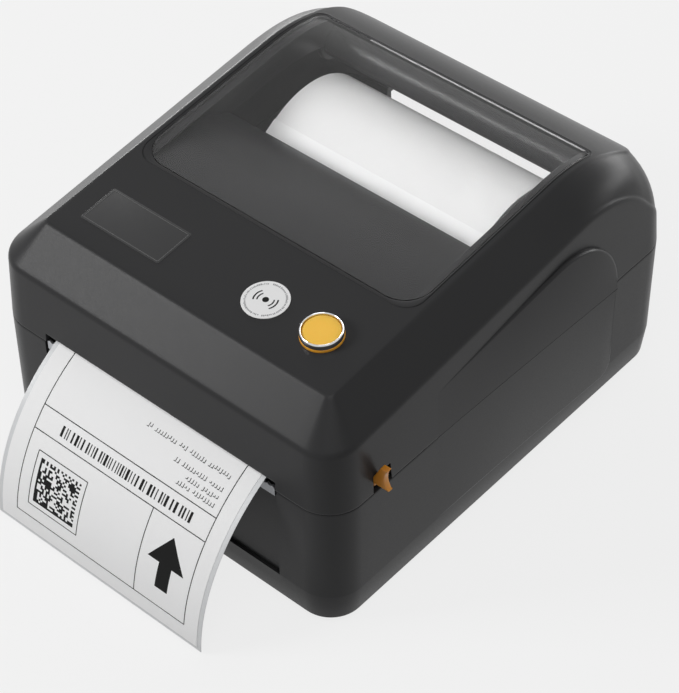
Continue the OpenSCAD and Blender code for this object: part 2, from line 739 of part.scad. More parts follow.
// The rocker rests with its outer end pressed in and swings about a vertical pin
rocker_rest = 8;
module power_rocker() {
    color("#b3261e") translate([switch_x, rocker_y - 4.5, switch_z]) rotate([0, 0, rocker_rest]) {
        translate([0, 0, -5]) linear_extrude(10)
            polygon([[-8, 1.4], [-8, 5.6], [0, 4.6], [8, 5.6], [8, 1.4], [2.4, -2.2], [-2.4, -2.2]]);
        translate([0, 0, -6]) cylinder(h = 12, r = 0.8);
    }
}

module gap_sensor() {
    color("#1e1e20") {
        translate([-6, sensor_y - 5, deck_z + 0.2]) cube([12, 10, 3.2]);
        translate([-4, sensor_y - 1.5, deck_z - 4.5]) cube([8, 3, 5]);
        translate([-5, sensor_y - 4, deck_z - 4.9]) cube([10, 8, 2.1]);
    }
}

// ---------- Label guides and roll arms ----------

// Rack bar for side s (+1 right, -1 left), reaching inwards past the pinion
module rack(s, y, z, h, reach, out) {
    d = rack_side(s);
    translate([0, y, z]) linear_extrude(h) mirror([0, d > 0 ? 1 : 0]) translate([0, -rack_r - rack_gap])
        mirror([s > 0 ? 0 : 1, 0]) {
            rack_teeth_2d(reach);
            translate([reach + 6, -1.1 - rack_bar]) square([out - reach - 6, rack_bar]);
        }
}
module rack_teeth_2d(reach) {
    n = 7;
    translate([-PI * rack_m * (n - 4.5), 0]) rack_2d(0, n);
}

module guide(s) {
    y = guide_y + rack_side(s) * (rack_r + rack_gap + 1.1 + rack_bar / 2);
    a = web_w / 2 + edge_gap;
    color("#35353a") {
        translate([s > 0 ? a : -a - 2, 64, deck_z + 0.2]) cube([2, 11, 7.3]);
        translate([s > 0 ? a : -a - 5, 63.5, deck_z + 0.2]) cube([5, 21, 1.6]);
        translate([s > 0 ? a + 0.6 : -a - 4.6, y - 1.3, guide_z]) cube([4, 2.6, deck_z - guide_z + 1]);
        rack(s, guide_y, guide_z, rack_h, 4, a + 4);
    }
}
module guide_left() guide(-1);
module guide_right() guide(1);

module z_pinion(y, z, h) {
    color("#e8e4da") translate([0, y, z]) difference() {
        linear_extrude(h) gear_2d(rack_teeth, rack_m, 0.14);
        translate([0, 0, -1]) cylinder(h = h + 2, r = 2 + run_gap);
    }
}
module guide_pinion() z_pinion(guide_y, guide_z, rack_h);
module arm_pinion() z_pinion(roll_y, arm_z, rack_h);

module roll_arm(s) {
    y = roll_y + rack_side(s) * (rack_r + rack_gap + 1.1 + rack_bar / 2);
    a = web_w / 2 + 0.6;
    color("#35353a") {
        translate([s > 0 ? a : -a - arm_t, 0, 0]) rotate([90, 0, 90]) linear_extrude(arm_t) {
            translate([roll_y, roll_z]) circle(16);
            polygon([[roll_y - 14, floor_z + 2.7], [roll_y + 14, floor_z + 2.7], [roll_y + 10, roll_z], [roll_y - 10, roll_z]]);
        }
        difference() {
            rod(s > 0 ? a - hub_len : -a - eps, s > 0 ? a + eps : -a + hub_len, roll_y, roll_z, core_r - run_gap);
            rod(s > 0 ? a - hub_len - 1 : -a + 0.6, s > 0 ? a - 0.6 : -a + hub_len + 1, roll_y, roll_z, core_r - 2);
        }
        translate([s > 0 ? a : -a - 8, roll_y - 14.5, floor_z + 2.7]) cube([8, 29, 2]);
        translate([s > 0 ? a + 3.4 : -a - 7.4, y - 1.3, arm_z]) cube([4, 2.6, floor_z - arm_z + 3.5]);
        rack(s, roll_y, arm_z, rack_h, 4, a + 7.4);
    }
}
module roll_arm_left() roll_arm(-1);
module roll_arm_right() roll_arm(1);

// ---------- Lid latches ----------

module latch_pins() {
    color(steel) for (s = [-1, 1]) rod(s > 0 ? hook_x - 0.8 : -half_w + 2.05, s > 0 ? half_w - 2.05 : -hook_x + 0.8, latch_y, latch_z, latch_pin_r);
}

module latch_springs() {
    color(steel) for (s = [-1, 1])
        translate([s > 0 ? 79.9 : -82.7, latch_y, latch_z]) rotate([0, 90, 0]) coil(3.5, 0.35, 2.8, 3);
}

module latch_hook(s) {
    color("#2a2a2c") translate([s > 0 ? hook_x : -hook_x - hook_t, 0, 0]) rotate([90, 0, 90]) linear_extrude(hook_t)
        difference() {
            union() {
                translate([latch_y, latch_z]) circle(4.6);
                polygon([[latch_y - 2.4, latch_z], [latch_y + 3.4, latch_z], [latch_y + 2.6, striker_z + 4.3],
                    [striker_y + 0.2, striker_z + 4.3], [striker_y - 2.6, striker_z + 2.9], [striker_y - 2.4, striker_z + 1.75],
                    [striker_y + 2.4, striker_z + 1.75], [striker_y + 2.6, striker_z - 1]]);
            }
            translate([latch_y, latch_z]) circle(latch_pin_r + run_gap);
        }
}
module latch_hook_left() latch_hook(-1);
module latch_hook_right() latch_hook(1);

// Thumb lever: an arm inside the wall, a neck through the notch and a flared fin outside
module thumb_lever(s) {
    color("#c17a20") mirror([s > 0 ? 0 : 1, 0, 0]) {
        translate([lever_x, 0, 0]) rotate([90, 0, 90]) linear_extrude(lever_t) difference() {
            union() {
                translate([latch_y, latch_z]) circle(5);
                polygon([[latch_y - 2.6, latch_z], [latch_y + 2.6, latch_z], [latch_y + 1.7, latch_z + 18],
                    [latch_y - 1.7, latch_z + 18]]);
            }
            translate([latch_y, latch_z]) circle(latch_pin_r + run_gap);
        }
        translate([lever_x + 1, fin_y + 1, latch_z + 14.4]) cube([half_w - lever_x, 3.4, 3.5]);
        translate([half_w, fin_y + fin_t, latch_z]) rotate([90, 0, 0]) linear_extrude(fin_t) difference() {
            polygon([[-1.4, 15.9], [6.6, 15.9], [6.9, 17], [6.4, 26], [2.9, 26], [0.7, 18.4], [-1.4, 18.2]]);
            translate([13.2, 21.2]) circle(8.7);
        }
    }
}
module thumb_lever_left() thumb_lever(-1);
module thumb_lever_right() thumb_lever(1);

module hinge_pins() {
    color(steel) for (s = [-1, 1]) {
        len = (knuckle_n - 1) * knuckle_step + knuckle_w;
        x0 = s > 0 ? knuckle_x : -knuckle_x - len;
        rod(x0, x0 + len, hinge_y, parting_z, hinge_pin_r);
    }
}

// ---------- Lid ----------

// Plan outline of the window, drawn in by t
module window_plan(t) {
    r = 12;
    w = window_hw - t;
    y0 = window_y + t;
    y1 = window_back - t;
    translate([-w, y0 + r]) square([2 * w, y1 - y0 - r - 3]);
    translate([-w + 3, y1 - 4]) square([2 * w - 6, 4]);
    for (s = [-1, 1]) translate([s * (w - 3), y1 - 3]) circle(3);
    translate([-w + r, y0]) square([2 * w - 2 * r, r + 1]);
    for (s = [-1, 1]) translate([s * (w - r), y0 + r]) circle(r);
}

// Side profile of everything below the lid's top line, lowered by t
module under_top(t) {
    polygon(concat([[20, 60]], [for (y = concat([20, arc_y], [for (i = [1:32]) arc_y + i * 1.4])) [y, top_at(y) - t]],
        [[arc_y + 44.8, 60]]));
}

module window_panel() {
    color("#c8d0d6", 0.35) intersection() {
        profile(2 * window_hw) difference() {
            under_top(0);
            under_top(window_t);
        }
        translate([0, 0, 60]) linear_extrude(80) window_plan(0.1);
    }
}

post_y = [76, 152];
post_x = half_w - 12.55;
function post_z(y) = top_at(y) - 17;
sw_x = 10.5;
peg_r = 0.8;
hanger_z = 97;

module lid_inside() {
    // Plates that hold the striker rods
    for (x = [69, 79.9], s = [-1, 1]) translate([s > 0 ? x : -x - 1.6, 16, striker_z - 2.6]) cube([1.6, 6.4, 40]);
    // Posts for the inner frame and the head hanger
    for (s = [-1, 1], y = post_y) translate([s * post_x, y, post_z(y) + 2]) cylinder(h = 30, r = 3.2);
    for (s = [-1, 1]) translate([s * 28, 30, hanger_z + 2]) cylinder(h = 12, r = 3.5);
    // Posts for the button's board
    for (s = [-1, 1]) on_top(button_x + s * sw_x, button_y) {
        translate([0, 0, -10]) cylinder(h = 9, r = 1.9);
        translate([0, 0, -12.2]) cylinder(h = 4, r = peg_r);
    }
    // Rib behind the label slot
    translate([-60, 1.4, parting_z + 6.6]) cube([120, 2.8, 4]);
}

module lid_shell() {
    color(plastic) {
        difference() {
            union() {
                difference() {
                    union() {
                        lid_body(0, lid_z);
                        intersection() {
                            union() {
                                pad(1);
                                pad(-1);
                            }
                            translate([-150, 0, lid_z]) cube([300, 300, 100]);
                        }
                    }
                    lid_body(wall, lid_z - 1);
                }
                intersection() {
                    lid_body(0.8, lid_z + 0.2);
                    lid_inside();
                }
            }
            translate([0, 0, 95]) linear_extrude(40) window_plan(0);
            // Label slot in front and fan-fold slot behind
            translate([-slot_hw, -5, lid_z - 1]) cube([2 * slot_hw, 9, parting_z + 4.3 - lid_z + 1]);
            translate([-slot_hw, 1.2, lid_z - 1]) cube([2 * slot_hw, 8, parting_z + 6.2 - lid_z + 1]);
            translate([-slot_hw, body_d - 8, lid_z - 1]) cube([2 * slot_hw, 20, parting_z + 4.5 - lid_z + 1]);
            // Notches for the thumb levers
            for (s = [-1, 1]) translate([s > 0 ? 81.2 : -91.2, 0, 0]) rotate([90, 0, 90]) linear_extrude(10)
                polygon([[21.5, 50], [21.5, 69], [30.9, 68.6], [31.5, 60.5], [31.5, 50]]);
            hinge_room(0);
            // Pockets and holes of the front controls
            on_top(plate_x, plate_y) translate([-plate_w / 2 - 0.1, -plate_d / 2 - 0.1, -0.8]) cube([plate_w + 0.2, plate_d + 0.2, 5]);
            on_top(button_x, button_y) translate([0, 0, -10]) cylinder(h = 20, r = sleeve_r + 0.05);
            for (x = [striker_x0, -striker_x0 - striker_len]) rod(x, x + striker_len, striker_y, striker_z, striker_r);
            for (s = [-1, 1], y = post_y) translate([s * post_x, y, post_z(y)]) cylinder(h = 10, r = 1.3 + fit_gap);
            for (s = [-1, 1]) translate([s * 28, 30, hanger_z]) cylinder(h = 5.4, r = 1.3 + fit_gap);
        }
        hinge_knuckles(1);
    }
}
sleeve_r = 7;
striker_x0 = half_w - 16.35;
striker_len = 12.5;

// Scoop, side walls and thick crossbar under the window, moulded as one frame
bar_y = body_d - 26.3;
bar_z = 95.8;
bar_r = 7;
frame_hw = 66;
module inner_frame() {
    color("#39393b") {
        // Scoop: flat part, crease and lip
        profile(2 * frame_hw + 1) polygon([[61, top_at(61) - 3.2], [64, top_at(64) - 2.9], [98, 104], [112.6, 96.5],
            [111.6, 94.6], [97.4, 101.8], [61, top_at(61) - 5.4]]);
        for (s = [-1, 1]) {
            x = s > 0 ? frame_hw : -frame_hw - 2.5;
            translate([x, 0, 0]) rotate([90, 0, 90]) linear_extrude(2.5) difference() {
                intersection() {
                    under_top(2.7);
                    translate([62, 70]) square([112, 60]);
                }
                under_top(17);
            }
            translate([x, 0, 0]) rotate([90, 0, 90]) linear_extrude(2.5) difference() {
                translate([bar_y, bar_z]) circle(bar_r + 2);
                translate([bar_y, bar_z + 8]) square([30, 20]);
            }
            for (y = post_y) difference() {
                translate([s > 0 ? frame_hw + 1 : -post_x - 3.4, y - 4, post_z(y)]) cube([post_x + 2.4 - frame_hw, 8, 2]);
                translate([s * post_x, y, post_z(y) - 1]) cylinder(h = 5, r = 1.6);
            }
        }
        rod(-frame_hw - 1, frame_hw + 1, bar_y, bar_z, bar_r);
    }
}

module lid_screws() {
    color(steel) {
        for (s = [-1, 1], y = post_y) translate([s * post_x, y, post_z(y)]) rotate([180, 0, 0]) screw(1.3, 2.5, 1.6, 9);
        for (s = [-1, 1]) translate([s * 28, 30, hanger_z]) rotate([180, 0, 0]) screw(1.3, 2.5, 1.6, 5);
    }
}

module latch_strikers() {
    color(steel) for (x = [striker_x0, -striker_x0 - striker_len]) rod(x, x + striker_len, striker_y, striker_z, striker_r);
}

module name_plate() {
    color("#1d1d1f") on_top(plate_x, plate_y) translate([-plate_w / 2, -plate_d / 2, -0.8]) cube([plate_w, plate_d, 0.9]);
}

module round_disc() {
    color(white) on_top(disc_x, disc_y) cylinder(h = 0.3, r = disc_r);
}

// ---------- Feed button ----------

collar_h = 1;
cap_top = 3.1;
stem_r = 5.5;
flange_z = -5;
spring_z = -9.5;

module light_ring() {
    color(amber) on_top(button_x, button_y) difference() {
        union() {
            cylinder(h = collar_h, r = ring_r + 0.1);
            translate([0, 0, -3.8]) cylinder(h = 4, r = sleeve_r);
        }
        translate([0, 0, -6]) cylinder(h = 10, r = stem_r + run_gap);
    }
}

module button_bezel() {
    color("#dfe2e6") on_top(button_x, button_y) translate([0, 0, collar_h]) difference() {
        cylinder(h = 2.6, r = ring_r);
        translate([0, 0, -1]) cylinder(h = 5, r = ring_r - 0.9);
    }
}

module button_cap() {
    color(amber) on_top(button_x, button_y) {
        translate([0, 0, collar_h + button_travel + 0.1]) cylinder(h = cap_top - collar_h - button_travel - 0.1, r = ring_r - 1.1);
        translate([0, 0, flange_z]) cylinder(h = cap_top - flange_z - 0.2, r = stem_r);
        translate([0, 0, flange_z]) cylinder(h = 1, r = stem_r + 1);
        translate([0, 0, flange_z - 1.1]) cylinder(h = 1.2, r = 1.4);
    }
}

module button_spring() {
    color(steel) translate([button_x, button_y, top_at(button_y)]) translate([0, 0.75, spring_z])
        coil(5.2, 0.3, 4.1, 4);
}

module switch_board() {
    color("#1f5c3a") on_top(button_x, button_y) translate([0, 0, -11.6]) difference() {
        translate([-sw_x - 2.5, -7, 0]) cube([2 * sw_x + 5, 14, 1.6]);
        for (s = [-1, 1]) translate([s * sw_x, 0, -1]) cylinder(h = 4, r = peg_r);
    }
    color("#242426") on_top(button_x, button_y) translate([0, 0, -10]) {
        translate([-3, -3, 0]) cube([6, 6, 2]);
        cylinder(h = 2.6, r = 1.5);
    }
}

// ---------- Print head ----------

pivot_y = 34;
pivot_z = 88;
pivot_r = 2;
head_hw = 54;

module head_hanger() {
    color("#8e9296") difference() {
        union() {
            translate([-35, 17, hanger_z]) cube([70, 28, 2]);
            for (s = [-1, 1]) translate([s > 0 ? 33 : -35, 0, 0]) rotate([90, 0, 90]) linear_extrude(2) {
                translate([pivot_y, pivot_z]) circle(4.2);
                translate([pivot_y - 4.2, pivot_z]) square([8.4, hanger_z + 1 - pivot_z]);
            }
        }
        rod(-40, 40, pivot_y, pivot_z, pivot_r);
        for (s = [-1, 1]) translate([s * 28, 30, hanger_z - 1]) cylinder(h = 5, r = 1.5);
    }
}

module head_pivot_pin() {
    color(steel) rod(-36, 36, pivot_y, pivot_z, pivot_r);
}

module head_bracket() {
    dy = pivot_y - (platen_y - head_off * sin(nip_a));
    dz = pivot_z - (platen_z + head_off * cos(nip_a));
    py = dy * cos(nip_a) + dz * sin(nip_a);
    pz = dz * cos(nip_a) - dy * sin(nip_a);
    color("#a9adb1") difference() {
        at_nip(head_off) {
            translate([-head_hw, -3, 9]) cube([2 * head_hw, 20, 1.5]);
            for (s = [-1, 1]) translate([s > 0 ? 30.8 : -32.8, 0, 0]) rotate([90, 0, 90]) linear_extrude(2) {
                translate([py, pz]) circle(4);
                polygon([[4, 10], [17, 9.2], [py, pz - 4], [py, pz + 4], [py - 3, pz + 3.2]]);
            }
        }
        rod(-40, 40, pivot_y, pivot_z, pivot_r + run_gap);
    }
    color("#a9adb1") intersection() {
        for (s = [-1, 1]) translate([s * 20, 20, 80]) cylinder(h = 4.4, r = 3.9);
        at_nip(head_off) translate([-head_hw, -3, 9]) cube([2 * head_hw, 20, 30]);
    }
}

module heat_sink() {
    color("#c4c7ca") at_nip(head_off + 1.2) {
        translate([-head_hw, -5, 0]) cube([2 * head_hw, 22, 4.6]);
        for (i = [0:6]) translate([-head_hw, -4.4 + i * 3.2, 4.5]) cube([2 * head_hw, 1.4, 3.2]);
    }
}

module thermal_head() {
    color("#d9d4c6") at_nip(head_off) difference() {
        translate([-head_hw, -5, 0]) cube([2 * head_hw, 18, 1.2]);
    }
    color("#7a4a22") at_nip(head_off) translate([-52, 8.4, -0.9]) cube([104, 4.2, 0.9]);
}

module head_springs() {
    color(steel) for (s = [-1, 1]) translate([s * 20, 20, 84.5]) coil(2.9, 0.35, hanger_z - 84.6, 6);
}

seat() base_shell();
seat() side_plates();
seat() bottom_cover();
seat() rubber_feet();
seat() bottom_screws();
seat() tear_bar();
seat() media_tray();
seat() guide_rod();
seat() platen_rubber();
seat() platen_shaft();
seat() platen_gear();
seat() platen_bushings();
seat() idler_gear();
seat() idler_post();
seat() stepper_motor();
seat() motor_shaft();
seat() motor_pinion();
seat() motor_screws();
seat() main_board();
seat() usb_port();
seat() power_jack();
seat() switch_housing();
seat() power_rocker();
seat() gap_sensor();
seat() guide_left();
seat() guide_right();
seat() guide_pinion();
seat() roll_arm_left();
seat() roll_arm_right();
seat() arm_pinion();
seat() label_roll();
seat() roll_core();
seat() label_web();
seat() printed_label();
seat() latch_pins();
seat() latch_springs();
seat() latch_hook_left();
seat() latch_hook_right();
seat() thumb_lever_left();
seat() thumb_lever_right();
seat() hinge_pins();
seat() lid_shell();
seat() window_panel();
seat() inner_frame();
seat() lid_screws();
seat() latch_strikers();
seat() name_plate();
seat() round_disc();
seat() light_ring();
seat() button_bezel();
seat() button_cap();
seat() button_spring();
seat() switch_board();
seat() head_hanger();
seat() head_pivot_pin();
seat() head_bracket();
seat() heat_sink();
seat() thermal_head();
seat() head_springs();
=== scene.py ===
import json
import math
import random

import bmesh
import bpy
import numpy as np
from mathutils import Matrix, Vector


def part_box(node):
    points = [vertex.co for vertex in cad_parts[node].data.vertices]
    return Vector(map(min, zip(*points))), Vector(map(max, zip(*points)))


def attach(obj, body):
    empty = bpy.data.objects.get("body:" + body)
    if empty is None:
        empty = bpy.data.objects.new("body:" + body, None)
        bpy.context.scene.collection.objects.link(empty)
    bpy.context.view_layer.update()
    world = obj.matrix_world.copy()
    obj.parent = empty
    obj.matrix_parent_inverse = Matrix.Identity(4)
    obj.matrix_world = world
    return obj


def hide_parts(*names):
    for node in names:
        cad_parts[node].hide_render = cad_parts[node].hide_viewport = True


# Desktop label printer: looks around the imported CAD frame.
# Sizes are in millimetres with the front wall at y = 0; toFrame() turns them into the frame's metres.

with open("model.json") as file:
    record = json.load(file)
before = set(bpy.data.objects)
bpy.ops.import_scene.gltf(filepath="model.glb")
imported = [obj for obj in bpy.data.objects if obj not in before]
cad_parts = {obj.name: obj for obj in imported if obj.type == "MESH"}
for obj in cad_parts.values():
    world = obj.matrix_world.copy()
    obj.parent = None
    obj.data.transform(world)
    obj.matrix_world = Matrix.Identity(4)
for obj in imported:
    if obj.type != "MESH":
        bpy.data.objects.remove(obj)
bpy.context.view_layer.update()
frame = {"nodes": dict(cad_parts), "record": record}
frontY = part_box("base_shell")[0][1]
print("frame loaded")


# ---- surfaces as numpy grids

def toFrame(points):
    # metres = mm / 1000, with y moved to the frame's own front wall
    p = np.asarray(points, float).reshape(-1, 3) * 0.001
    p[:, 1] += frontY
    return p


def lift(xy, z):
    # plan points with a height each
    return np.column_stack([xy, np.broadcast_to(z, len(xy))])


def lerp(a, b, t):
    return a + (b - a) * t


def unit(v):
    return v / np.maximum(np.linalg.norm(v, axis=-1, keepdims=True), 1e-9)


def bend(a, b, c, steps):
    # rounding of the corner b: (1-t)^2 a + 2t(1-t) b + t^2 c
    t = np.linspace(0, 1, steps)[:, None, None]
    return list((1 - t) ** 2 * a + 2 * t * (1 - t) * b + t ** 2 * c)


def gridQuads(rows, cols, wrapRows=False, wrapCols=True, start=0):
    i, j = np.meshgrid(np.arange(rows if wrapRows else rows - 1), np.arange(cols if wrapCols else cols - 1),
                       indexing="ij")
    i2, j2 = (i + 1) % rows, (j + 1) % cols
    return start + np.stack([i * cols + j, i * cols + j2, i2 * cols + j2, i2 * cols + j], -1).reshape(-1, 4)


def arc(cy, cz, r, a0, a1, steps):
    # points on a circle from angle a0 to a1, in degrees
    a = np.radians(np.linspace(a0, a1, steps))
    return np.column_stack([cy + r * np.cos(a), cz + r * np.sin(a)])


def insetLoop(loop, d):
    # each point moves in by d along its two edges' common normal
    loop = np.asarray(loop, float)
    if not d:
        return loop
    e1 = unit(loop - np.roll(loop, 1, 0))
    e2 = unit(np.roll(loop, -1, 0) - loop)
    n1 = np.column_stack([-e1[:, 1], e1[:, 0]])
    n2 = np.column_stack([-e2[:, 1], e2[:, 0]])
    m = unit(n1 + n2)
    area = np.sum(loop[:, 0] * np.roll(loop[:, 1], -1) - loop[:, 1] * np.roll(loop[:, 0], -1))
    return loop + m * (np.sign(area) * d / np.maximum((m * n1).sum(1), 0.45))[:, None]


def rim(a, b, r, steps=3):
    # sections of a slab from a to b whose two rims are rounded by r
    w = np.radians(np.linspace(0, 90, steps + 1))
    s = 1 if b > a else -1
    low = [(r * (1 - math.sin(q)), a + s * r * (1 - math.cos(q))) for q in w]
    return low + [(i, b - (h - a)) for i, h in low[::-1]]


def alongX(loop, h):
    return np.column_stack([np.full(len(loop), h), loop])


def alongY(loop, h):
    return np.column_stack([loop[:, 0], np.full(len(loop), h), loop[:, 1]])


def alongZ(loop, h):
    return np.column_stack([loop, np.full(len(loop), h)])


class Part:
    # points and faces of one piece, gathered from several closed shells
    def __init__(self):
        self.points, self.faces, self.count = [], [], 0

    def add(self, points, faces):
        points = np.asarray(points, float).reshape(-1, 3)
        self.faces += [[int(i) + self.count for i in f] for f in faces]
        self.points.append(points)
        self.count += len(points)
        return self

    def loft(self, loop, sections, place):
        # the loop, moved in by each section's inset and set at its height, with both ends closed
        n, m = len(loop), len(sections)
        rings = np.concatenate([place(insetLoop(loop, d), h) for d, h in sections])
        return self.add(rings, [*gridQuads(m, n), range(n), range((m - 1) * n, m * n)])

    def lathe(self, profile, steps, place, closed=False):
        # (r, h) turned about the h axis; open profiles start and end on the axis
        profile = np.asarray(profile, float)
        a = np.linspace(0, 2 * math.pi, steps, endpoint=False)
        body = profile if closed else profile[1:-1]
        ring = np.stack([body[:, :1] * np.cos(a), body[:, :1] * np.sin(a),
                         np.repeat(body[:, 1:], steps, 1)], -1).reshape(-1, 3)
        faces = list(gridQuads(len(body), steps, wrapRows=closed))
        if not closed:
            ring = np.vstack([ring, [0, 0, profile[0, 1]], [0, 0, profile[-1, 1]]])
            last, k = (len(body) - 1) * steps, np.arange(steps)
            k2 = (k + 1) % steps
            faces += list(np.column_stack([k, k2, np.full(steps, len(ring) - 2)]))
            faces += list(np.column_stack([last + k, last + k2, np.full(steps, len(ring) - 1)]))
        return self.add(place(ring), faces)

    def make(self, name, material, body, sharp=32, replaces=(), slot=None, bevel=0):
        mesh = bpy.data.meshes.new(name)
        mesh.from_pydata(toFrame(np.concatenate(self.points)), [], self.faces)
        return finishPiece(name, mesh, material, body, sharp, replaces, bevel)


def finishPiece(name, mesh, material, body, sharp, replaces, bevel):
    bm = bmesh.new()
    bm.from_mesh(mesh)
    bmesh.ops.remove_doubles(bm, verts=bm.verts, dist=2e-6)
    bmesh.ops.recalc_face_normals(bm, faces=bm.faces)
    bm.to_mesh(mesh)
    bm.free()
    mesh.shade_smooth()
    mesh.set_sharp_from_angle(angle=math.radians(sharp))
    mesh.materials.append(material)
    piece = bpy.data.objects.new(name, mesh)
    bpy.context.scene.collection.objects.link(piece)
    if bevel:
        m = piece.modifiers.new("edges", "BEVEL")
        m.width, m.segments, m.angle_limit = bevel * 0.001, 2, math.radians(40)
        m.harden_normals = True
    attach(piece, body)
    if replaces:
        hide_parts(*replaces)
    return piece


# ---- materials

def node(tree, kind, **values):
    n = tree.nodes.new(kind)
    for key, value in values.items():
        if hasattr(n, key) and key not in n.inputs:
            setattr(n, key, value)
        else:
            n.inputs[key.replace("_", " ")].default_value = value
    return n


def coordinates(tree, scale=(1, 1, 1)):
    link = tree.links.new
    tex = node(tree, "ShaderNodeTexCoord")
    mapping = node(tree, "ShaderNodeMapping")
    mapping.inputs["Scale"].default_value = scale
    link(tex.outputs["Object"], mapping.inputs["Vector"])
    return mapping.outputs["Vector"]


def ranged(tree, value, low, high, start=0.3, end=0.7):
    m = node(tree, "ShaderNodeMapRange")
    for key, v in (("From Min", start), ("From Max", end), ("To Min", low), ("To Max", high)):
        m.inputs[key].default_value = v
    tree.links.new(value, m.inputs["Value"])
    return m.outputs["Result"]


def finish(name, colour, second=None, rough=(0.4, 0.5), grain=900, stretch=(1, 1, 1), bump=0.02, patch=40,
           metal=0.0, specular=0.5, coat=0.0, coatRough=0.1, sheen=0.0, ior=1.5, subsurface=0.0, glow=0.0):
    # noise at two scales: large patches tint the colour, fine grain sets roughness and bump
    m = bpy.data.materials.new(name)
    m.use_nodes = True
    tree = m.node_tree
    link = tree.links.new
    shader = tree.nodes["Principled BSDF"]
    where = coordinates(tree, stretch)
    fine = node(tree, "ShaderNodeTexNoise", Scale=grain, Detail=3.0, Roughness=0.6)
    wide = node(tree, "ShaderNodeTexNoise", Scale=patch, Detail=2.0, Roughness=0.5)
    link(where, fine.inputs["Vector"])
    link(where, wide.inputs["Vector"])
    second = second or [c * 0.86 for c in colour]
    mix = node(tree, "ShaderNodeMix", data_type="RGBA")
    mix.inputs[6].default_value = (*colour, 1)
    mix.inputs[7].default_value = (*second, 1)
    both = node(tree, "ShaderNodeMath", operation="MULTIPLY_ADD")
    link(fine.outputs["Fac"], both.inputs[0])
    both.inputs[1].default_value = 0.6
    link(ranged(tree, wide.outputs["Fac"], -0.1, 0.4), both.inputs[2])
    link(both.outputs[0], mix.inputs[0])
    link(mix.outputs[2], shader.inputs["Base Color"])
    link(ranged(tree, fine.outputs["Fac"], *rough), shader.inputs["Roughness"])
    if bump:
        b = node(tree, "ShaderNodeBump", Strength=0.6, Distance=bump * 0.001)
        link(fine.outputs["Fac"], b.inputs["Height"])
        link(b.outputs["Normal"], shader.inputs["Normal"])
    for key, value in (("Metallic", metal), ("Specular IOR Level", specular), ("Coat Weight", coat),
                       ("Coat Roughness", coatRough), ("Sheen Weight", sheen), ("IOR", ior),
                       ("Subsurface Weight", subsurface)):
        shader.inputs[key].default_value = value
    if subsurface:
        shader.inputs["Subsurface Radius"].default_value = (0.004, 0.002, 0.001)
        shader.inputs["Subsurface Scale"].default_value = 1.0
    if glow:
        shader.inputs["Emission Color"].default_value = (*colour, 1)
        shader.inputs["Emission Strength"].default_value = glow
    return m


def clearPlastic(name, tint):
    # smooth glass that lets lamp light straight through
    m = bpy.data.materials.new(name)
    m.use_nodes = True
    tree = m.node_tree
    link = tree.links.new
    shader = tree.nodes["Principled BSDF"]
    shader.inputs["Base Color"].default_value = (*tint, 1)
    shader.inputs["Transmission Weight"].default_value = 1.0
    shader.inputs["IOR"].default_value = 1.3
    smear = node(tree, "ShaderNodeTexNoise", Scale=30.0, Detail=2.0)
    link(coordinates(tree), smear.inputs["Vector"])
    link(ranged(tree, smear.outputs["Fac"], 0.0, 0.012), shader.inputs["Roughness"])
    clear = node(tree, "ShaderNodeBsdfTransparent")
    clear.inputs["Color"].default_value = (*[c ** 2 for c in tint], 1)
    path = node(tree, "ShaderNodeLightPath")
    mix = node(tree, "ShaderNodeMixShader")
    link(path.outputs["Is Shadow Ray"], mix.inputs["Fac"])
    link(shader.outputs[0], mix.inputs[1])
    link(clear.outputs[0], mix.inputs[2])
    link(mix.outputs[0], tree.nodes["Material Output"].inputs["Surface"])
    return m


def woundPaper(name, colour, line):
    # concentric turns on the roll's ends, as rings about its axis; plain paper round the outside
    m = finish(name, colour, [c * 0.95 for c in colour], rough=(0.55, 0.7), grain=500, bump=0.01)
    tree = m.node_tree
    link = tree.links.new
    shader = tree.nodes["Principled BSDF"]
    tex = node(tree, "ShaderNodeTexCoord")
    centre = node(tree, "ShaderNodeVectorMath", operation="SUBTRACT")
    centre.inputs[1].default_value = (0, toFrame([0, roll["y"], 0])[0, 1], roll["z"] * 0.001)
    link(tex.outputs["Object"], centre.inputs[0])
    flat = node(tree, "ShaderNodeVectorMath", operation="MULTIPLY")
    flat.inputs[1].default_value = (0, 1, 1)
    link(centre.outputs[0], flat.inputs[0])
    far = node(tree, "ShaderNodeVectorMath", operation="LENGTH")
    link(flat.outputs[0], far.inputs[0])
    turns = node(tree, "ShaderNodeMath", operation="MULTIPLY")
    turns.inputs[1].default_value = 2200
    link(far.outputs["Value"], turns.inputs[0])
    noise = node(tree, "ShaderNodeTexNoise", Scale=1.0, Detail=4.0, Roughness=0.8)
    noise.noise_dimensions = "1D"
    link(turns.outputs[0], noise.inputs["W"])
    mix = node(tree, "ShaderNodeMix", data_type="RGBA")
    mix.inputs[6].default_value = (*colour, 1)
    mix.inputs[7].default_value = (*line, 1)
    link(ranged(tree, noise.outputs["Fac"], 0.0, 1.0, 0.42, 0.62), mix.inputs[0])
    geometry = node(tree, "ShaderNodeNewGeometry")
    side = node(tree, "ShaderNodeSeparateXYZ")
    link(geometry.outputs["True Normal"], side.inputs[0])
    ends = node(tree, "ShaderNodeMath", operation="ABSOLUTE")
    link(side.outputs["X"], ends.inputs[0])
    pick = node(tree, "ShaderNodeMix", data_type="RGBA")
    link(ends.outputs[0], pick.inputs[0])
    link(shader.inputs["Base Color"].links[0].from_socket, pick.inputs[6])
    link(mix.outputs[2], pick.inputs[7])
    link(pick.outputs[2], shader.inputs["Base Color"])
    return m


roll = {"y": 143.6, "z": 62.1, "outer": 36.4, "inner": 14.4, "core": 12.8, "half": 53.0}

